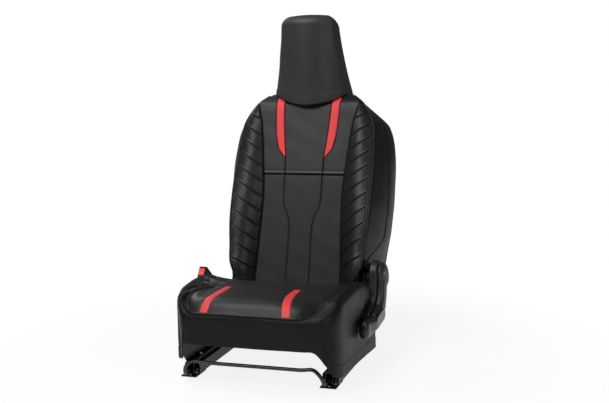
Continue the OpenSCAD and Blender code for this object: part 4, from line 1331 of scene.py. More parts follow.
    def skirt(self) -> Form:
        """The skirt: corner seams, a turned hem, and openings for the recliner and the buckle.

        Returns:
            The closed form.
        """
        q = np.linspace(-SIDE_END, SIDE_END, 441)
        k = np.concatenate([np.linspace(0, ROLL, 33)[:-1], np.linspace(ROLL, HEM, 40)])
        qq, kk = np.meshgrid(q, k, indexing="ij")
        base = self.skirt_at(qq, kk, 0.0)
        a, low = np.abs(qq), base[..., 2] - self.hem_z(qq)
        # Corner seams, the turned hem with its stitch row, then the sewn upper edge with its lip.
        rise = groove((a - 2.32) * 55, 2.0, 2.6) * ramp(kk, 1.0, 2.2)
        rise += (groove(low - 37, 1.3, 1.8) + 0.7 * (1 - ramp(low, 30, 37))) * ramp(a, 2.2, 2.6)
        rise += groove(low, 1.2, 1.6)
        upper = groove(kk * 11 - 11.5, 1.7, 1.5) * ramp(7 - a, 0, 2)
        upper += groove(kk * 12, 2.6, 3.2) + 1.1 * bell(kk * 11 - 6, 3.2)
        rise += upper * (1 - 0.95 * ramp(-qq, 2.9, 3.7))
        # Wrinkles from the top panel, slow unevenness, and small sags at the front corners.
        rise += self.folds(base) * ramp(-base[..., 0], 150, 190) * (1 - ramp(kk, 0.4, 2.4))
        rise += 0.9 * ripple(base, 150, 1.9) * ramp(kk, 1, 3)
        sag = bell(a - 2.9, 0.35) * np.sin(low / 11)
        rise += 1.2 * sag * ramp(low, 0, 20) * (1 - ramp(low, 60, 90))
        outer = base + normals(base, base * [1, 1, 0]) * np.clip(rise, -3.6, 4.6)[..., None]
        # Room for the recliner plate, the lever's shaft and the buckle's anchor.
        x, y, z = np.moveaxis((base[:-1, :-1] + base[1:, 1:]) / 2, -1, 0)
        cut = ((x > 205) & (y > 130) & (z > 92)) | ((x > 224) & (y > 117) & (z > 92))
        cut |= (np.hypot(y - 75, z - 135) < 12) & (x > 200)
        cut |= (np.hypot(y - 120, z - 115) < 15) & (x < -200)
        return shell(outer, self.skirt_at(qq, kk, self.wall), ~cut)

    def seam_path(self, away: float, rise: float, q: Array) -> Array:
        """The sewn edge between top and skirt.

        Args:
            away: Distance outwards from the seam.
            rise: Height above it.
            q: Stations.

        Returns:
            A path.
        """
        seam, out, z = self.stations(q)
        z = z + self.lift(seam[..., 0], seam[..., 1]) + rise
        return np.concatenate([seam + away * unit(out - seam), z[..., None]], -1)

    def welt(self) -> Form:
        """The raised sewn edge: a slim cord that sinks into the seam on the left.

        Returns:
            The closed form.
        """
        path = along(self.seam_path(2.0, 0.5, np.linspace(-SIDE_END, 7.6, 400)), 4.0)
        hidden = ramp(-path[:, 0], 150, 180) * ramp(path[:, 1], -285, -245)
        return tube(raised(path, -2.6 * hidden), lerp(2.4, 1.2, hidden), 14)

    def sewing(self) -> Form:
        """Two rows of top stitching behind the front seam, and one by each side, skirt and hem.

        Returns:
            All stitches.
        """
        s = np.linspace(-0.93, 0.93, 260)
        rows = [
            stitches(self.top_at(s, back, 0.1), (0.0, -0.45, 0.9))
            for back in (0.014, 0.027)
        ]
        t = np.linspace(0.05, 0.9, 220)
        for sign in (-1, 1):
            line = self.top_at(0.957 * sign, t, 0.25)
            rows.append(stitches(line, (0.2 * sign, 0.0, 1.0)))
        q = np.linspace(-6.5, 5.6, 420)
        edge = self.skirt_at(q, 1.32, -0.1)
        rows.append(stitches(edge, edge * [1 / 480, 1 / 480, 0.0] + [0.0, 0.0, 0.8]))
        q = np.linspace(-7.6, 6.9, 500)
        edge = self.skirt_at(q, HEM, -0.75)
        edge[:, 2] = self.hem_z(q) + 31
        rows.append(stitches(edge, edge * [1, 1, 0], 6.0))
        return joined(rows)

    def tail(self) -> Form:
        """Tail of the cover: falls from the panel's rear edge and tucks in under the backrest.

        Returns:
            The closed form.
        """
        s, j = np.meshgrid(np.linspace(-0.82, 0.82, 60), np.linspace(0, 1, 24), indexing="ij")
        edge = self.top_at(s, 1.0, -4.0)
        y = self.rear + keys((0, 0.2), (0.4, 3), (0.7, 12), (1, 28))(j)
        z = lerp(edge[..., 2], 160.0, keys((0, 0), (0.4, 0.72), (0.7, 0.96), (1, 1))(j))
        z = z + 0.8 * ripple(edge, 90, 4.1) * j
        grid = np.stack([edge[..., 0], y, z], -1)
        return shell(grid, grid + [0.0, -0.6, -1.8])

    def stripe_at(self, u: Array, x: Array) -> tuple[Array, Array]:
        """Returns a stripe's distance from the seat's middle and its half width, at share u."""
        half = self.stripe / 2 * (1 - 0.22 * ramp(u, 0.55, 1.0))
        return np.where(x > 0, self.lean_right(u), self.lean_left(u)), half

    def stripes(self) -> Form:
        """The two red stripes, which lean inwards, narrow a little and end behind the middle.

        Returns:
            Both stripes.
        """
        u, j = np.meshgrid(np.linspace(-0.004, 1, 96), np.linspace(-1, 1, 15), indexing="ij")
        t = self.stripe_end * u
        ahead = t * (self.rear + self.front)
        forms = []
        for side in (-1, 1):
            mid, half = self.stripe_at(u, side + 0 * u)
            base = self.top_at(side * (mid + j * half) / self.seam_half, t)
            rise = self.swell(base, np.maximum(ahead, 0)) + 1.1 - 0.9 * np.abs(j) ** 6
            rise += groove(ahead + 1, 2.2, 2.6) + groove(ahead - 9, 0.8, 1.3)
            forms.append(shell(raised(base, rise), raised(base, -1.2)))
        return joined(forms)

    def make(self, shop: Workshop, f: Finishes) -> None:
        """Builds and dresses every piece of the cover.

        Args:
            shop: The workshop.
            f: The finishes.
        """
        seat, black = Body.SEAT, Slot.BLACK
        top = Role(f.black, seat, black, "cushion_top_panel", 0.8)
        shop.piece("cushion_cover_top", self.top_panel(), top)
        shop.piece("cushion_cover_skirt", self.skirt(), Role(f.skirt, seat, black, "cushion_skirt"))
        shop.piece("cushion_cover_tail", self.tail(), Role(f.soft, seat, black))
        shop.piece("cushion_cover_welt", self.welt(), Role(f.soft, seat, black, "cushion_welt"))
        stripes = Role(f.red, seat, Slot.RED, "cushion_stripes")
        shop.piece("cushion_cover_stripes", self.stripes(), stripes)
        shop.piece("cushion_cover_sewing", self.sewing(), Role(f.thread, seat, black))
        self.fit_pad(shop.filled("cushion_foam", f.foam, seat).data)

    def fit_pad(self, pad: Mesh) -> None:
        """Draws the foam in with the skirt, and lowers its left edge under the wrinkles.

        Args:
            pad: The foam's mesh.
        """
        place = np.empty(3 * len(pad.vertices))
        pad.vertices.foreach_get("co", place)
        moved = self.tucked(self.tucked(place.reshape(-1, 3) / MM))
        moved[:, 2] -= 9 * ramp(-moved[:, 0], 150, 190) * ramp(moved[:, 2], 185, 215)
        pad.vertices.foreach_set("co", (moved * MM).reshape(-1))


# -------- backrest


@dataclass
class BackCover:
    """Cover of the backrest: centre panels, ribbed bolsters, sides, rear, piping and inserts."""

    pivot: Pair = (190.0, 212.0)  # place of the recliner's axis, as y and z
    tilt: float = 15.4  # lean of the backrest in degrees
    face: float = 25.3  # depth of the pivot behind the front of the cushioning
    depth: float = 120.0  # depth at which the sides turn into the rear corners
    corner: Pair = (22.0, 14.0)  # width and depth of a rear corner
    rear_crown: float = 8.0  # how far the rear bows out behind its corners
    side_half: float = 258.0  # half width of the backrest at its sides
    core: float = 55.0  # depth of the middle line at which inward distances aim
    base: float = -30.0  # height of the lower end of the covers
    cross: float = 300.0  # height of the seam between the centre panels
    top: float = 556.0  # height of their upper end
    pad: float = 6.0
    ribs: tuple[int, float] = (12, 522.0)  # ribs on a bolster, and the height at which they end
    seam: Keys = keys(
        (-30, 134), (0, 133), (150, 126), (250, 124), (340, 132), (460, 145), (525, 160), (560, 150)
    )
    pipe: Keys = keys(
        (-30, 178), (0, 190), (28, 200.5), (75, 206), (150, 212), (236, 214), (340, 212),
        (452, 204), (496, 186), (530, 162), (560, 124),
    )
    pipe_depth: Keys = keys(
        (-30, -38), (15, -42), (75, -36), (150, -35), (236, -25), (340, -5), (452, 12), (496, 19),
        (530, 26), (560, 38),
    )
    rear: Keys = keys(
        (-30, -44), (0, -32), (31, -23), (58, -16), (185, -2), (292, 0), (387, -4), (468, -24),
        (510, -67), (560, -136),
    )
    bulge: Keys = keys((-30, 5), (0, 12), (40, 16), (250, 15), (400, 12), (500, 6), (560, 2))
    roll: Keys = keys((500, 0), (518, 2), (530, 9), (543, 21), (550, 27), (560, 34))
    inner: Keys = keys(
        (-32, 36), (18, 36), (99, 35), (140, 36), (164, 39), (186, 47), (209, 56), (240, 58.5),
        (300, 58.7), (353, 61), (400, 66), (450, 71), (500, 74), (545, 76), (560, 77),
    )
    zip_depth: Keys = keys(
        (20, -30), (28, -22), (63, 2), (90, 32), (112, 54), (140, 62), (560, 62)
    )
    insert: Keys = keys(
        (353, 62.2), (366, 73), (380, 83), (400, 88.5), (420, 93), (480, 98), (545, 101), (560, 102)
    )

    def half_seam(self, h: Array) -> Array:
        """Returns the half width at the seam between centre and bolster."""
        return np.minimum(self.seam(h), self.pipe(h) - 5)

    def section(self, s: Array, h: Array) -> tuple[Array, Array]:
        """Cross-section of the backrest.

        Args:
            s: To 1 centre, 2 bolster, 3 side, 4 rear corner, 5 rear; negative on the left.
            h: Height up the back.

        Returns:
            Distance across and depth behind the front.
        """
        a, g = np.abs(s), np.sign(s)
        b, p, d, f = self.half_seam(h), self.pipe(h), self.pipe_depth(h), self.roll(h)
        (wide, deep), r = self.corner, self.side_half + self.rear(h)
        ranks = [a <= 1, a <= 2, a <= 3, a <= 4]
        bow, round_off = np.pi / 2 * (a - 2), np.pi / 2 * (a - 3)
        x = np.select(
            ranks,
            [
                b * a,
                lerp(b, p, a - 1),
                p + (r - p) * np.sin(bow),
                r - wide * (1 - np.cos(round_off)),
            ],
            (r - wide) * (5 - a),
        )
        y = np.select(
            ranks,
            [
                f - 2 * (1 - a * a),
                lerp(f, d, a - 1) - self.bulge(h) * np.sin(np.pi * (a - 1)),
                lerp(d, self.depth, a - 2),
                self.depth + deep * np.sin(round_off),
            ],
            self.depth + deep + self.rear_crown * (1 - (5 - a) ** 2),
        )
        return g * x, y

    def skin(self, s: Array, h: Array, o: Values) -> Array:
        """Points of the cover in the seat's own frame.

        Args:
            s: Place round the back, as in section.
            h: Height up the back.
            o: Distance inwards from the outside.

        Returns:
            Points, last axis x, y, z.
        """
        x, y = self.section(s, h)
        vx, vy = -0.9 * x * np.clip(np.abs(s) - 1.3, 0, 0.5), self.core - y
        n = np.hypot(vx, vy)
        return self.stand(np.stack([x + o * vx / n, y + o * vy / n, h + 0 * x], -1))

    def stand(self, p: Array) -> Array:
        """Turns points drawn upright to the backrest's tilt and place.

        Args:
            p: Points, last axis x, depth, height.

        Returns:
            Points, last axis x, y, z.
        """
        c, s = math.cos(math.radians(self.tilt)), math.sin(math.radians(self.tilt))
        x, y, z = p[..., 0], p[..., 1] - self.face, p[..., 2]
        return np.stack([x, self.pivot[0] + y * c + z * s, self.pivot[1] - y * s + z * c], -1)

    def sheet(self, s: Array, h: Array, rise: Array) -> Form:
        """Returns a cover panel with its outside raised by rise."""
        return shell(self.skin(s, h, -rise), self.skin(s, h, self.pad))

    def seamed(self, away: Array) -> Array:
        """Returns the profile of a flat-felled seam: a sharp dip between two low ridges."""
        return groove(away, 2.1, 1.2) + 0.55 * bell(np.abs(away) - 3.0, 1.5)

    def lower_panel(self) -> Form:
        """Lower centre panel: three fields divided by the necked seams.

        Returns:
            The closed form.
        """
        top, fine = self.cross - 0.3, 15.7
        low = np.linspace(self.base - 2, top - fine, 130)[:-1]
        h = np.concatenate([low, top - fine * (1 - pinched(16))])
        b, n = self.half_seam(h) - 0.4, self.inner(h)
        x = between([-b, -n, n, b], [34, 34, 34])
        hh = np.broadcast_to(h[:, None], x.shape)
        side, below = np.abs(x) - n[:, None], self.cross + 0.4 - hh
        rise = self.seamed(side) + groove(b[:, None] - np.abs(x), 2.6, 1.7)
        rise += groove(below, 3.0, 2.2) - 0.4
        rise += 1.0 * (1 - np.exp(-np.minimum(np.abs(side), below) / 14))
        rise += 0.5 * ripple(self.skin(x / 134, hh, 0.0), 120, 2.2)
        return self.sheet(x / self.half_seam(hh), hh, rise)

    def upper_panel(self) -> Form:
        """Upper centre panel: sewn round the inserts, with a rolled lower edge.

        Returns:
            The closed form.
        """
        low, fine = self.cross + 0.3, 14.0
        high = np.linspace(low + fine, self.top, 120)
        h = np.concatenate([low + fine * pinched(16)[:-1], high])
        b, n = self.half_seam(h) - 0.4, self.inner(h)
        m = np.maximum(np.minimum(np.where(h < 353, n, self.insert(h)), b - 8), n + 1.4)
        x = between([-b, -m, -n, n, m, b], [22, 10, 34, 10, 22])
        hh = np.broadcast_to(h[:, None], x.shape)
        above = hh - self.cross
        side, far = np.abs(np.abs(x) - n[:, None]), np.abs(np.abs(x) - m[:, None])
        rise = self.seamed(side) + self.seamed(far) * ramp(hh, 350, 358)
        rise += groove(b[:, None] - np.abs(x), 2.6, 1.7) + groove(above, 3.4, 1.3)
        rise += 2.3 * bell(above - 5, 3.6) + groove(above - 11.5, 0.5, 1.6)
        rise += 0.8 * (1 - np.exp(-np.minimum(side, far) / 14)) - 0.3
        rise += 0.5 * ripple(self.skin(x / 134, hh, 0.0), 120, 4.1)
        return self.sheet(x / self.half_seam(hh), hh, rise)

    def rib_h(self, j: Array, t: Array, steep: float) -> Array:
        """Height of a rib line.

        Args:
            j: Number of the line, two a rib.
            t: Share of the bolster's width, 0 at the seam.
            steep: How much steeper the lines lean low down, 0 to 1.

        Returns:
            Heights up the back.
        """
        count, end = self.ribs
        h = lerp(self.base, end, j / (2 * count))
        w = np.clip((460 - h) / 460, 0, 1)
        lean = 11 + 0.62 * (self.pipe(h) - self.half_seam(h)) * (t - 0.5)
        lean += steep * lerp(lerp(-3, 12, w), lerp(5, 25, w), t) - 4 * (1 - steep) * (1 - t)
        return h + lean * np.minimum(1, np.minimum(h - self.base, end - h) / 60)

    def bolster(self, steep: float) -> Form:
        """Bolster: ribs that swell to a lip above narrow sewn channels, short of the piping.

        Args:
            steep: How much steeper the channels lean low down.

        Returns:
            The right bolster.
        """
        count = 2 * self.ribs[0]
        lines, shares = np.linspace(0, count, 20 * count + 1), lerp(0.005, 0.993, pinched(44))
        j, t = np.meshgrid(lines, shares, indexing="ij")
        h = self.rib_h(j, t, steep)
        phase = j / 2 - np.floor(j / 2)
        plump = 0.42 + 0.5 * (1 - phase) ** 1.3 + 0.34 * bell(phase - 0.11, 0.05)
        plump -= bell(np.minimum(phase, 1 - phase), 0.036)
        reach = (1 - ramp(t, 0.84, 0.93)) * ramp(t, 0.03, 0.1)
        rise = lerp(2.2, 3.3 * plump, reach)
        wide = self.pipe(h) - self.half_seam(h)
        rise += groove(t * wide, 3.2, 1.9) + groove((1 - t) * wide, 3.4, 2.6)
        rise += groove((1 - t) * wide - 8.5, 0.9, 1.3)
        rise += 0.35 * ripple(self.skin(1 + t, h, 0.0), 70, 0.9)
        return self.sheet(1 + t, h, rise * lerp(0.35, 1.0, ramp(h, self.base, 10)))

    def side(self, seed: float) -> Form:
        """Side panel with its zip flap, drawn in low down to clear the recliner plate.

        Args:
            seed: Shifts the unevenness, so that the two sides differ.

        Returns:
            The right panel.
        """
        rows = [np.linspace(-24, 60, 44)[:-1], np.linspace(60, 480, 140)[:-1]]
        h = np.concatenate([*rows, np.linspace(480, self.top, 44)])
        front, rear = 2.01, 2.997
        s = np.concatenate([np.linspace(front, 2.63, 44)[:-1], np.linspace(2.63, rear, 30)])
        hh, ss = np.meshgrid(h, s, indexing="ij")
        away = self.section(ss, hh)[1] - self.zip_depth(hh)
        rise = groove(away, 1.8, 1.8) + 1.4 * bell(away - 5, 4.0) + groove(away - 11.5, 0.8, 1.2)
        rise -= 1.6 * ramp(away, -6, 0) * (1 - ramp(hh, 100, 130))
        rise += groove((ss - front) * 120, 2.4, 4.0) + groove((rear - ss) * 120, 2.0, 3.0)
        base = self.skin(ss, hh, 0.0)
        rise += 0.9 * ripple(base, 160, seed)
        rise += 0.5 * ripple(base, 70, seed + 1) * (1 - ramp(hh, 60, 200))
        outer, inner = self.skin(ss, hh, -rise), self.skin(ss, hh, self.pad)
        # Near the recliner plate both faces flatten out before they reach its inner side.
        limit, soft = lerp(196.5, 300.0, ramp(hh, 31, 72)), 8.0
        for grid, edge in ((outer, limit - soft), (inner, limit - 4.5 - soft)):
            x = grid[..., 0]
            grid[..., 0] = np.where(x > edge, edge + soft * np.tanh((x - edge) / soft), x)
        return shell(outer, inner)

    def rear_panel(self) -> Form:
        """Rear panel: a shallow crown with a seam at each side, a hem and a map-pocket edge.

        Returns:
            The closed form.
        """
        h = np.concatenate([np.linspace(-18, 12, 12)[:-1], np.linspace(12, self.top, 150)])
        half = np.concatenate([3.004 + 0.996 * pinched(22)[:-1], np.linspace(4, 5, 50)])
        s = np.concatenate([half, -half[::-1][1:]])
        hh, ss = np.meshgrid(h, s, indexing="ij")
        base = self.skin(ss, hh, 0.0)
        x = np.abs(base[..., 0])
        rise = groove(hh - 10, 0.9, 1.6) + groove(np.abs(np.abs(ss) - 3.0) * 35, 1.6, 3.0)
        # The map pocket: a stitched mouth with a lip, stitched sides and bottom, and its fullness.
        rise += groove(hh - 330, 1.6, 1.4) * (x < 152) + 1.1 * bell(hh - 324, 4) * (x < 150)
        rise += groove(x - 151, 1.2, 1.6) * (hh > 58) * (hh < 332)
        rise += groove(hh - 59, 1.2, 1.6) * (x < 152)
        rise += 0.8 * (x < 150) * (hh > 60) * (hh < 328) + 0.9 * ripple(base, 170, 5.0)
        return self.sheet(ss, hh, rise)

    def underside(self) -> Form:
        """Lining under the foam: a plate between the front cover and the depth of the frame.

        Returns:
            The closed form.
        """
        s = np.linspace(-1.62, 1.62, 61)
        x, y = self.section(s, np.full_like(s, -21.0))
        line = np.stack([np.append(x, [164, -164]), np.append(y + 6.3, [60, 60])], -1)
        form = stacked(np.stack([np.insert(line, 2, h, 1) for h in (-20.6, -22.4)]))
        return Form(self.stand(form.points), form.quads, form.tris)

    def line(self, s: float, h: Array, o: float) -> Array:
        """Returns a path on the cover, o millimetres in from its outside."""
        return self.skin(np.full_like(h, s), h, o)

    def piping(self) -> Form:
        """Piping along the outer edge of both bolsters."""
        h = np.linspace(-6, self.top - 4, 240)
        return tube(along(self.line(2.0, h, -1.0), 3.0), 2.4, 14).both()

    def inserts(self) -> Form:
        """Red inserts: narrow at the tip and wide under the headrest.

        Returns:
            Both inserts.
        """
        low, fine = 354.5, 25.0
        h = np.concatenate([low + fine * pinched(24)[:-1], np.linspace(low + fine, 545, 60)])
        a, b = self.inner(h) + 0.7, self.insert(h) - 0.4
        x = between([a, np.maximum(b, a + 0.8)], [16])
        hh = np.broadcast_to(h[:, None], x.shape)
        t = (x - x[:, :1]) / (x[:, -1:] - x[:, :1])
        rise = 1.3 - 1.2 * np.abs(2 * t - 1) ** 5
        s = x / self.half_seam(hh)
        return shell(self.skin(s, hh, -rise), self.skin(s, hh, 1.6)).both()

    def sewing(self) -> Form:
        """Stitch rows beside the side zip, the cross seam, the inner seams and the piping.

        Returns:
            All stitches.
        """
        rows = [stitches(self.stand(self.zip_line(13.0)), (1.0, 0.0, 0.1), 5.5).both()]
        x = np.linspace(-126, 126, 200)
        h = np.full_like(x, self.cross + 9)
        cross = self.skin(x / self.half_seam(h), h, -0.75)
        rows.append(stitches(cross, (0.0, -1.0, -0.3)))
        h = np.linspace(-20, 290, 200)
        for gap in (-5.0, 5.0):
            line = self.skin((self.inner(h) + gap) / self.half_seam(h), h, -0.25)
            rows.append(stitches(line, (0.0, -1.0, 0.2)).both())
        line = self.line(1.86, np.linspace(20, 520, 260), -2.4)
        rows.append(stitches(line, (0.0, -1.0, 0.3)).both())
        return joined(rows)

    def zip_line(self, away: float) -> Array:
        """Line down the right side panel, behind its zip.

        Args:
            away: Distance behind the zip.

        Returns:
            Upright points.
        """
        h = np.linspace(75, 520, 300)
        d = self.pipe_depth(h)
        s = 2 + (self.zip_depth(h) + away - d) / (self.depth - d)
        x, y = self.section(s, h)
        return np.stack([x + 0.9, y, h], -1)

    def make(self, shop: Workshop, f: Finishes) -> None:
        """Builds and dresses every piece of the cover.

        Args:
            shop: The workshop.
            f: The finishes.
        """
        back, black = Body.BACK, Slot.BLACK
        left, left_side = self.bolster(0.0).mirrored(), self.side(2.7).mirrored()
        punched, red = (f.punched, back, Slot.PERFORATED), (f.red, back, Slot.RED)
        grained, smooth = (f.black, back, black), (f.soft, back, black)
        for name, form, role in (
            ("lower", self.lower_panel(), Role(*punched, "centre_panel_lower", 0.7)),
            ("upper", self.upper_panel(), Role(*grained, "centre_panel_upper", 0.7)),
            ("bolster_right", self.bolster(1.0), Role(*grained, "bolster_right", 0.8)),
            ("bolster_left", left, Role(*grained, "bolster_left", 0.8)),
            ("side_right", self.side(0.3), Role(*smooth, "side_panel_right")),
            ("side_left", left_side, Role(*smooth, "side_panel_left")),
            ("rear", self.rear_panel(), Role(*grained, "back_rear_panel")),
            ("underside", self.underside(), Role(*smooth)),
            ("piping", self.piping(), Role(*smooth, "back_piping")),
            ("inserts", self.inserts(), Role(*red, "back_inserts")),
            ("sewing", self.sewing(), Role(f.thread, back, black)),
        ):
            shop.piece(f"back_cover_{name}", form, role)
        shop.filled("back_foam", f.foam, back)


@dataclass
class HeadrestHood:
    """Fitted hood over the fixed headrest, its lining, and the foam inside it."""

    back: BackCover  # the backrest's cover, whose tilt the hood shares
    half: float = 125.0  # half width of the hood at its lower edge
    wall: float = 8.0
    hem: float = 557.0  # height of its lower edge at the sides
    rim: float = 745.0  # height at which the dome starts
    peak: float = 785.0
    edge_x: Keys = keys((557, -8), (581, -17), (653, -31), (745, -44))
    edge_d: Keys = keys((557, 25), (581, 11), (653, -23), (745, -67))
    rear_d: Keys = keys((557, 127), (581, 112), (653, 62), (745, 11))
    mid_h: Keys = keys((557, 510), (581, 546), (653, 640), (745, 745))
    mid_d: Keys = keys((557, -30), (581, -41), (653, -68), (745, -93))

    def ring(self, e: float, cap: float) -> Array:
        """One level of the hood: curved front, rounded sides and back.

        Args:
            e: Height of the level at the sides.
            cap: Angle over the dome in degrees, 0 below it.

        Returns:
            Upright points, from the left front corner round.
        """
        k = math.cos(math.radians(cap))
        x = self.half + self.edge_x(e) - 34 * (1 - k)
        ed, rd, md = self.edge_d(e), self.rear_d(e), self.mid_d(e)
        m = (ed + rd) / 2
        df, dr, dc = m + (ed - m) * k, m + (rd - m) * k, m + (md - m) * k
        lift = (self.peak - self.rim) * math.sin(math.radians(cap))
        hc, he = self.mid_h(e) + lift, e + lift
        w, v = np.linspace(-1, 1, 61)[:, None], np.linspace(0, 1, 31)[1:-1, None]
        swell = 4.2 * k * np.sin(np.pi * v) + 3 * v
        hump = float(lerp(18, 10, min(1.0, (e - self.hem) / 60))) * k
        front = np.hstack([x * w, lerp(dc, df, w * w), lerp(hc, he, w * w)])
        right = np.hstack([x + swell, lerp(df, dr, v), he + 0 * v])
        rear = np.hstack([(x + 3) * -w, dr + hump * (1 - w * w), he + 0 * w])
        level = evened(np.concatenate([front, right, rear, right[::-1] * [-1, 1, 1]]), 200)
        return averaged(averaged(level, 3), 2)

    def rings(self, inset: float) -> Array:
        """All levels from the hem to near the peak.

        Args:
            inset: How far they are moved in.

        Returns:
            Upright rings.
        """
        levels = [(float(e), 0.0) for e in np.linspace(self.hem, self.rim, 90)]
        over = np.degrees(np.arcsin(np.linspace(0, 0.998, 40)[1:]))
        levels += [(self.rim, float(cap)) for cap in over]
        stack = np.stack([self.ring(e, cap) for e, cap in levels])
        v = (stack.mean(1, keepdims=True) - stack) * [0.6, 1, 0]
        n = np.linalg.norm(v, axis=-1, keepdims=True)
        moved = stack + v / np.maximum(n, 1e-6) * np.minimum(inset, 0.7 * n)
        moved[..., 2] -= inset * np.clip((stack[..., 2] - self.rim) / 40, 0, 1)
        return moved

    def hood(self) -> Form:
        """The hood: taut front, rounded corners, turned hem and seams beside the front face.

        Returns:
            The closed form.
        """
        outer, inner = self.rings(0.0), self.rings(self.wall)
        m, n = outer.shape[:2]
        row = np.arange(m)[:, None] * np.ones((1, n))
        x, d = np.abs(outer[..., 0]), outer[..., 1]
        edge, mid = x.max(1)[:, None], d.mean(1)[:, None]
        rise = groove(row - 9, 0.8, 1.1) - 1.3 * (1 - ramp(row, 0, 4))
        rise += groove(edge - x - 2.5, 1.0, 1.6) * (d < mid)
        rise += 0.8 * ripple(outer, 150, 3.3) * ramp(row, 2, 12)
        rise *= 1 - ramp(row, 118, 128)
        outer = outer + normals(outer, outer - outer.mean(1, keepdims=True)) * rise[..., None]
        count, ring = m * n, np.arange(n)
        tips = [outer[-1].mean(0)[None], inner[-1].mean(0)[None]]
        points = np.concatenate([outer.reshape(-1, 3), inner.reshape(-1, 3), *tips])
        around, after = grid_quads(m, n, True), np.roll(ring, -1)
        hem = np.stack([after, ring, ring + count, after + count], -1)
        last = ring + (m - 1) * n
        caps = [fan(last, 2 * count), fan(last + count, 2 * count + 1)[:, [1, 0, 2]]]
        quads = np.concatenate([around, around[:, ::-1] + count, hem])
        return Form(self.back.stand(points), quads, np.concatenate(caps)).outward()

    def lining(self) -> Form:
        """Lining under the foam: straight rays from the hood's lower edge to a point inside it.

        Returns:
            The closed form.
        """
        ring = self.rings(self.wall + 0.2)[0]
        ring = np.concatenate([ring, ring[:1]])
        share = np.linspace(0, 0.96, 14)[:, None, None]
        rays = lerp(ring[None], (0.0, 70.0, 545.0), share)
        return shell(*(self.back.stand(rays - [0.0, 0.0, low]) for low in (2.2, 0.6)))

    def make(self, shop: Workshop, f: Finishes) -> None:
        """Builds and dresses the lining, the hood and its foam.

        Args:
            shop: The workshop.
            f: The finishes.
        """
        back, black = Body.BACK, Slot.BLACK
        shop.piece("headrest_lining", self.lining(), Role(f.soft, back, black))
        shop.piece("headrest_cover", self.hood(), Role(f.hood, back, black, "headrest_hood", 0.9))
        shop.filled("headrest_foam", f.foam, back)


# -------- metal and plastic


def doubled(half: list[list[float]]) -> list[list[float]]:
    """Returns the corners of half a path and then their reflections, back to its start."""
    return half + [[-x, y, z] for x, y, z in reversed(half)]


@dataclass
class Wires:
    """Formed wire and tube: springs, back frame and release bar."""

    back: BackCover  # the backrest's cover, whose tilt the frame shares
    deck: float = 151.0
    # Half width, depth and radius of the back frame's tube.
    tube: Triple = (184.0, 80.0, 12.5)
    wire: Pair = (1.8, 1.5)  # radius of the cushion springs and of the back springs
    # Place of the right end of the release bar.
    bar_pivot: Triple = (196.0, -110.0, 18.0)
    bar_front: float = -252.0  # y of the release bar's front run

    def cushion_springs(self) -> Form:
        """Four no-sag springs: sine waves across X that run from the pan to the rear tube.

        Returns:
            All four.
        """
        y = np.linspace(-138, 105.6, 290)
        z = self.deck + 3.7 - self.wire[0]
        wave = np.stack([16 * np.sin(np.pi / 2 * (y + 138) / 8.7), y, 0 * y + z], -1)
        hook = [[111.5, z], [114.2, z - 0.6], [115.4, z - 3.5], [115.6, self.deck - 19]]
        head, tail = np.array([[0.0, -149.0, z]]), np.insert(hook, 0, 0.0, 1)
        path = along(np.concatenate([head, wave, tail]), 2.6)
        return joined(tube(path + [x, 0, 0], self.wire[0], 8) for x in (-120, -40, 40, 120))

    def back_springs(self) -> Form:
        """Four springs behind the back foam: sine waves up and down between the frame tubes.

        Returns:
            All four.
        """
        half, depth, radius = self.tube
        wire = self.wire[1]
        y, end = 58.4 + wire, half - radius - wire - 0.2
        x = np.linspace(-144, 144, 300)
        forms = []
        for h in (130.0, 200.0, 270.0, 340.0):
            wave = np.stack([x, 0 * x + y, h + 14 * np.sin(np.pi / 2 * (x + 144) / 12)], -1)
            hook = np.array([[-end, depth, h], [-156, y + 4, h]])
            path = np.concatenate([hook, wave, hook[::-1] * [-1, 1, 1]])
            forms.append(tube(self.back.stand(along(path, 2.4)), wire, 8))
        return joined(forms)

    def hoop(self) -> Form:
        """The back frame: one bent tube from arm to arm through the headrest.

        Returns:
            The closed form.
        """
        half, depth, radius = self.tube
        foot, shoulder = [half, depth, 34], [half, depth, 440]
        corners = [foot, shoulder, [84, depth, 520], [72, 76, 560], [60, 0, 684]]
        return tube(self.back.stand(rounded(doubled(corners), 40, 10)), radius, 28)

    def release_bar(self) -> Form:
        """The bar: along each rail, up and across the front, with a boss on each pivot.

        Returns:
            The bar and its bosses.
        """
        y, (x, pivot_y, z) = self.bar_front, self.bar_pivot
        foot = [[x, pivot_y - 2, z], [x - 1.5, y + 11, z]]
        corners = foot + [[189.5, y + 1, 40], [169, y, 61], [138, y, 56]]
        bar = tube(rounded(doubled(corners), 13, 10), 5.0, 24)
        half = [(-8, 3.05), (-8, 6.9), (-7.4, 7.5)]
        profile = [*half, *((-a, radius) for a, radius in reversed(half)), half[0]]
        rows = turned(profile, 40) + self.bar_pivot
        boss = Form(rows.reshape(-1, 3), grid_quads(len(rows), 40, True)).outward()
        return bar + boss.both()

    def make(self, shop: Workshop, f: Finishes) -> None:
        """Builds and dresses the wire and tube pieces.

        Args:
            shop: The workshop.
            f: The finishes.
        """
        seat, back = Body.SEAT, Body.BACK
        springs = Role(f.zinc, seat, Slot.ZINC, "cushion_springs")
        shop.piece("cushion_spring_wires", self.cushion_springs(), springs)
        springs = Role(f.zinc, back, Slot.ZINC, "back_springs")
        shop.piece("back_spring_wires", self.back_springs(), springs)
        shop.piece("back_frame_tube", self.hoop(), Role(f.frame, back, Slot.FRAME, "back_frame"))
        bar = Role(f.bar, Body.BAR, Slot.BAR, "slide_bar")
        shop.piece("release_bar_round", self.release_bar(), bar)


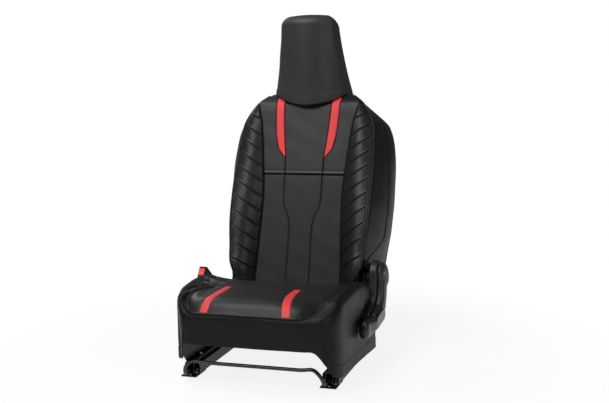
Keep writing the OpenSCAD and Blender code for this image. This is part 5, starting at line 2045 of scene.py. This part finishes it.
@dataclass
class ReclinerTrim:
    """Plastic trim of the recliner: backing shield, domed cap, its screws, and the lever."""

    x: float = 244.0  # outside of the seat, where the shield begins
    wall: float = 3.0
    split: float = 12.0  # depth of the joint between shield and cap
    tall: float = 20.0  # height of the cap's dome
    shaft: Pair = (75.0, 135.0)  # place of the lever's shaft, as y and z
    # Places of the cap's screws.
    screws: tuple[Pair, ...] = ((135.0, 240.0), (128.0, 140.0))
    reach_in: float = 11.5  # how far the shield reaches in past x
    grip: float = 14.6  # half width of the lever's grip
    grip_x: float = 260.2  # middle of the grip across the seat

    def plan(self) -> Array:
        """Outline of the backing shield.

        Returns:
            Points in y and z.
        """
        corners = [
            [126, 266], [150, 272], [176, 270], [206, 250], [222, 222], [222, 205], [206, 182],
            [164, 168], [143, 126], [120, 112], [60, 104], [26, 108], [18, 120], [24, 142],
            [40, 152], [92, 160], [106, 178], [112, 215], [112, 255],
        ]
        return loop(corners, 300, 5)

    def backing(self) -> Form:
        """The backing shield: a shallow tray from the backrest pivot forward to the lever."""
        return slab(self.plan(), self.x - self.reach_in, self.x + self.split - 2.6, 4.5, 5.0)

    def pocket(self) -> Form:
        """Returns the room inside the backing shield."""
        line = inward(self.plan(), self.wall + 0.4)
        return prism(line, self.x - self.reach_in - 4, self.x + self.split - 2.6 - self.wall)

    def lobe(self) -> Form:
        """The lobe over the pivot: a straight rim, then rings that shrink as a superellipse.

        Returns:
            The closed form.
        """
        corners = [
            [130, 262], [150, 267], [174, 265], [202, 247], [217, 221], [217, 208], [203, 188],
            [120, 186], [115, 215], [115, 252],
        ]
        line = loop(corners, 200, 6)
        middle = line.mean(0)
        w, power = np.linspace(0, np.pi / 2, 26), 2 / 2.5
        rim = self.x + self.split
        scale = [0.99, 1.0, *np.maximum(np.cos(w) ** power, 0.02)]
        x = [rim, rim + 0.6, *(rim + 3 + (self.tall - 5) * np.sin(w) ** power)]
        rings = [np.insert(middle + (line - middle) * k, 0, a, 1) for k, a in zip(scale, x)]
        return stacked(np.stack(rings))

    def foot(self) -> Form:
        """The foot below the lobe, which curves forward along the lower edge.

        Returns:
            The closed form.
        """
        corners = [
            [168, 226], [166, 196], [160, 168], [140, 130], [118, 117], [60, 109], [30, 113],
            [23, 121], [29, 139], [42, 147], [96, 155], [111, 176], [116, 196], [120, 226],
        ]
        line = loop(corners, 300, 5)
        return slab(line, self.x + self.split, self.x + self.tall + 10.5, 11.0, 13.0)

    def screw_heads(self) -> Form:
        """Two pan-head screws, each sunk to its shoulder in the cap.

        Returns:
            Both screws.
        """
        profile = [
            (-24, 1.6), (-24, 2.0), (-1.5, 2.0), (-1.4, 4.0), (0.4, 4.0), (1.1, 3.4), (1.4, 2.2),
            (0.5, 1.9), (0.4, 0.4),
        ]
        faces = (self.x + 27.0, self.x + 30.2)
        rings = turned(profile, 28)
        return joined(stacked(rings + [x, *place]) for x, place in zip(faces, self.screws))

    def paddle(self) -> Form:
        """The lever's grip: a loft of superellipses from its rounded nose to its root.

        Returns:
            The closed form.
        """
        top = keys((-160, -12), (-157, 2), (-150, 10.5), (-136, 14.5), (-100, 12), (-66, 9))
        low = keys((-160, -14), (-157, -29), (-150, -35), (-142, -37.5), (-100, -32), (-66, -27))
        w = np.linspace(0, np.pi / 2, 14)
        y = np.concatenate([-160 + 16 * (1 - np.cos(w)), np.linspace(-143, -66, 30)])[:, None]
        nose = np.concatenate([np.maximum(np.sin(w), 0.12) ** 0.8, np.ones(30)])[:, None]
        a = np.linspace(0, 2 * np.pi, 72, endpoint=False)
        c, q = (np.sign(v) * np.abs(v) ** 0.75 for v in (np.cos(a), np.sin(a)))
        root = ramp(y, -146, -84)
        x = self.grip_x + 6 * root + (self.grip * nose + 3.4 * root) * c
        z = (top(y) + low(y)) / 2 + np.maximum((top(y) - low(y)) / 2, 1.0) * q
        return stacked(np.stack([x, np.broadcast_to(y, x.shape), z], -1) + [0, *self.shaft])

    def arm(self) -> Form:
        """The lever's arm: a plate that widens from the hub to the grip.

        Returns:
            The closed form.
        """
        turns = np.radians(np.arange(-100, 101, 20.0))
        hub = [[17 * math.cos(a), 17 * math.sin(a)] for a in turns]
        rest = [[-40, 15], [-84, 10], [-96, 2], [-96, -18], [-84, -24], [-40, -20]]
        return slab(loop(hub + rest, 200, 4) + self.shaft, self.x + 33.0, self.x + 40, 2.6, 2.6)

    def hollow(self) -> Form:
        """The finger hollow under the grip."""
        line = np.array([[-146, -60], [-66.5, -60], [-66.5, 2], [-74, 5], [-138, 6], [-146, 0]])
        return prism(line + self.shaft, self.grip_x - 9.5, self.grip_x + 10.5)

    def bore(self) -> Form:
        """Returns a cylinder through the shaft's hole."""
        return stacked(turned([(self.x - 6, 9.0), (self.x + 60, 9.0)], 48) + [0, *self.shaft])

    def make(self, shop: Workshop, f: Finishes) -> None:
        """Builds and dresses the shield, the cap, the screws and the lever.

        Args:
            shop: The workshop.
            f: The finishes.
        """
        seat, slot, bore = Body.SEAT, Slot.PLASTIC, self.bore()
        shield = Role(f.plastic, seat, slot, "shield_base")
        shop.moulded("recliner_shield", self.backing(), self.pocket() + bore, 1.3, 4, shield)
        cap = Role(f.plastic, seat, slot, "shield_cap")
        shop.moulded("recliner_cap", self.lobe() + self.foot(), bore, 1.3, 10, cap)
        screws = Role(f.zinc, seat, Slot.ZINC, "shield_screws")
        shop.piece("recliner_cap_screws", self.screw_heads(), screws)
        lever = Role(f.lever, Body.LEVER, Slot.LEVER, "recliner_lever")
        shop.moulded("recliner_grip", self.paddle() + self.arm(), self.hollow(), 1.1, 5, lever)


PLAIN = {
    "rail": "lower_rail_left lower_rail_right upper_rail_left upper_rail_right front_feet "
    "rear_feet",
    "frame": "side_member_left side_member_right front_cross_tube rear_cross_tube cushion_pan "
    "recliner_plate back_cross_members back_arm_outer back_arm_inner buckle_stalk",
    "zinc": "foot_rivets bar_pivot_pins latch_plates frame_bolts recliner_spacers recliner_bolts "
    "pivot_bolts recliner_pawl lever_shaft buckle_anchor",
    "ball": "rail_balls",
    "nylon": "rail_glides ball_cages",
}


@dataclass
class Hardware:
    """CAD nodes that stay, and those shown with rounded edges."""

    housing_edge: float = 1.2  # rounding of the buckle housing
    button_edge: float = 2.4

    def make(self, shop: Workshop, f: Finishes, nodes: dict[str, Object]) -> None:
        """Dresses the kept CAD nodes and builds the moulded copies.

        Args:
            shop: The workshop.
            f: The finishes.
            nodes: The frame's nodes by name.
        """
        for finish, names in PLAIN.items():
            for name in names.split():
                mesh = nodes[name].data
                for i in range(len(mesh.materials)):
                    mesh.materials[i] = getattr(f, finish)
        shop.eased(self.housing_edge, Role(f.plastic, Body.BUCKLE, Slot.PLASTIC, "buckle_housing"))
        shop.eased(self.button_edge, Role(f.button, Body.BUTTON, Slot.BUTTON, "buckle_button"))


# -------- camera, floor and light


@dataclass
class Studio:
    """Plain pale floor, soft light and the camera."""

    # Angle of the camera from straight ahead, towards the recliner, in degrees.
    azimuth: float = 18.27
    elevation: float = 7.63
    roll: float = -1.02  # its turn about its own axis
    focal: float = 998.0  # its focal length in pixels
    distance: float = 2.794  # its distance from the aim in metres
    aim: Triple = (0.0, 0.0, 0.45)
    shift: Pair = (25.8, 2.8)  # shift of the view in pixels
    width: int = 609  # width of the view in pixels
    sky: float = 0.1  # strength of the sky as light

    def camera(self) -> None:
        """Sets the camera: looks at the aim from the recliner's side, a little above it."""
        a, e, r = (math.radians(v) for v in (self.azimuth, self.elevation, self.roll))
        back = Vector((math.sin(a) * math.cos(e), -math.cos(a) * math.cos(e), math.sin(e)))
        right = Vector((math.cos(a), math.sin(a), 0))
        up = back.cross(right)
        side = right * math.cos(r) + up * math.sin(r)
        top = up * math.cos(r) - right * math.sin(r)
        data = bpy.data.cameras.new("view")
        data.sensor_width = 36.0
        data.lens = self.focal * data.sensor_width / self.width
        data.shift_x, data.shift_y = (s / self.width for s in self.shift)
        data.clip_end = 50
        turn = Matrix((side, top, back)).transposed().to_4x4()
        obj = linked("view", data)
        obj.matrix_world = Matrix.Translation(Vector(self.aim) + back * self.distance) @ turn
        bpy.context.scene.camera = obj

    def seen(self, b: Board) -> Wire:
        """How much of the plain white a ray sees.

        Args:
            b: The board.

        Returns:
            1 for camera and glass rays, a half for mirror rays and 0 for light.
        """
        rays = b.node("ShaderNodeLightPath").outputs
        shown = Wire(b, rays["Is Camera Ray"]) + Wire(b, rays["Is Transmission Ray"])
        return shown + Wire(b, rays["Is Glossy Ray"]) * 0.5

    def floor(self) -> None:
        """A wide pale floor that shows white and keeps a soft shadow."""
        b = Board(bpy.data.materials.new("studio floor"))
        vector, x, y, _ = b.place()
        mottle = b.tint(b.noise(vector, 3.0), (0.9, 0.9, 0.9), (0.94, 0.94, 0.94))
        cloth = b.node("ShaderNodeBsdfDiffuse", None, {"Color": mottle}).outputs[0]
        white = {"Color": (1, 1, 1, 1), "Strength": 1.0}
        glow = b.node("ShaderNodeEmission", None, white).outputs[0]
        away = ((x * x + (y - 0.1) * (y - 0.1)) ** 0.5).step(0.5, 1.1)
        share = self.seen(b) * (away * 0.13 + 0.87)
        mix = b.node("ShaderNodeMixShader", None, {0: share, 1: cloth, 2: glow})
        b.node("ShaderNodeOutputMaterial", None, {0: mix.outputs[0]})
        mesh = bpy.data.meshes.new("floor")
        w = 9.0
        mesh.from_pydata([(-w, -w, 0), (w, -w, 0), (w, w, 0), (-w, w, 0)], [], [(0, 1, 2, 3)])
        mesh.materials.append(b.owner)
        linked("floor", mesh)

    def world(self) -> None:
        """White to the eye, and a plain dim sky to everything else."""
        world = bpy.data.worlds.new("studio")
        bpy.context.scene.world = world
        b = Board(world)
        eye = b.node("ShaderNodeLightPath").outputs["Is Camera Ray"]
        dim, bright = (
            b.node("ShaderNodeBackground", None, {0: (1, 1, 1, 1), 1: strength}).outputs[0]
            for strength in (self.sky, 1.0)
        )
        mix = b.node("ShaderNodeMixShader", None, {0: eye, 1: dim, 2: bright})
        b.node("ShaderNodeOutputWorld", None, {0: mix.outputs[0]})

    def lamp(self, name: str, place: tuple, size: tuple, power: float) -> None:
        """Adds a soft box that faces the middle of the seat.

        Args:
            name: Name of the lamp.
            place: Where it hangs, in metres.
            size: Width and height in metres.
            power: Watts.
        """
        data = bpy.data.lights.new(name, "AREA")
        data.shape, data.size, data.size_y, data.energy = "RECTANGLE", *size, power
        aim = (Vector((0, 0.1, 0.5)) - Vector(place)).to_track_quat("-Z", "Y")
        obj = linked(name, data)
        obj.matrix_world = Matrix.Translation(place) @ aim.to_matrix().to_4x4()

    def make(self) -> None:
        """Builds the camera, the floor, the world and the lamps."""
        bpy.context.scene.view_settings.view_transform = "Standard"
        self.camera()
        self.floor()
        self.world()
        self.lamp("front soft box", (-1.3, -3.2, 3.4), (2.0, 2.0), 86.0)
        self.lamp("top soft box", (-0.7, -0.5, 3.2), (2.2, 1.3), 46.0)
        self.lamp("right strip", (2.7, -1.9, 1.8), (0.4, 1.8), 20.0)
        self.lamp("rear strip", (-1.9, 1.9, 1.8), (0.8, 1.6), 12.0)


def main() -> None:
    """Loads the frame, sets up the studio and builds every sub-assembly."""
    logging.basicConfig(level=logging.INFO, format="%(name)s %(message)s")
    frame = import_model()
    shop, finishes = Workshop(), Finishes()
    Studio().make()
    cover = BackCover()
    CushionCover().make(shop, finishes)
    cover.make(shop, finishes)
    HeadrestHood(cover).make(shop, finishes)
    Wires(cover).make(shop, finishes)
    ReclinerTrim().make(shop, finishes)
    Hardware().make(shop, finishes, frame["nodes"])


if __name__ == "__main__":
    main()
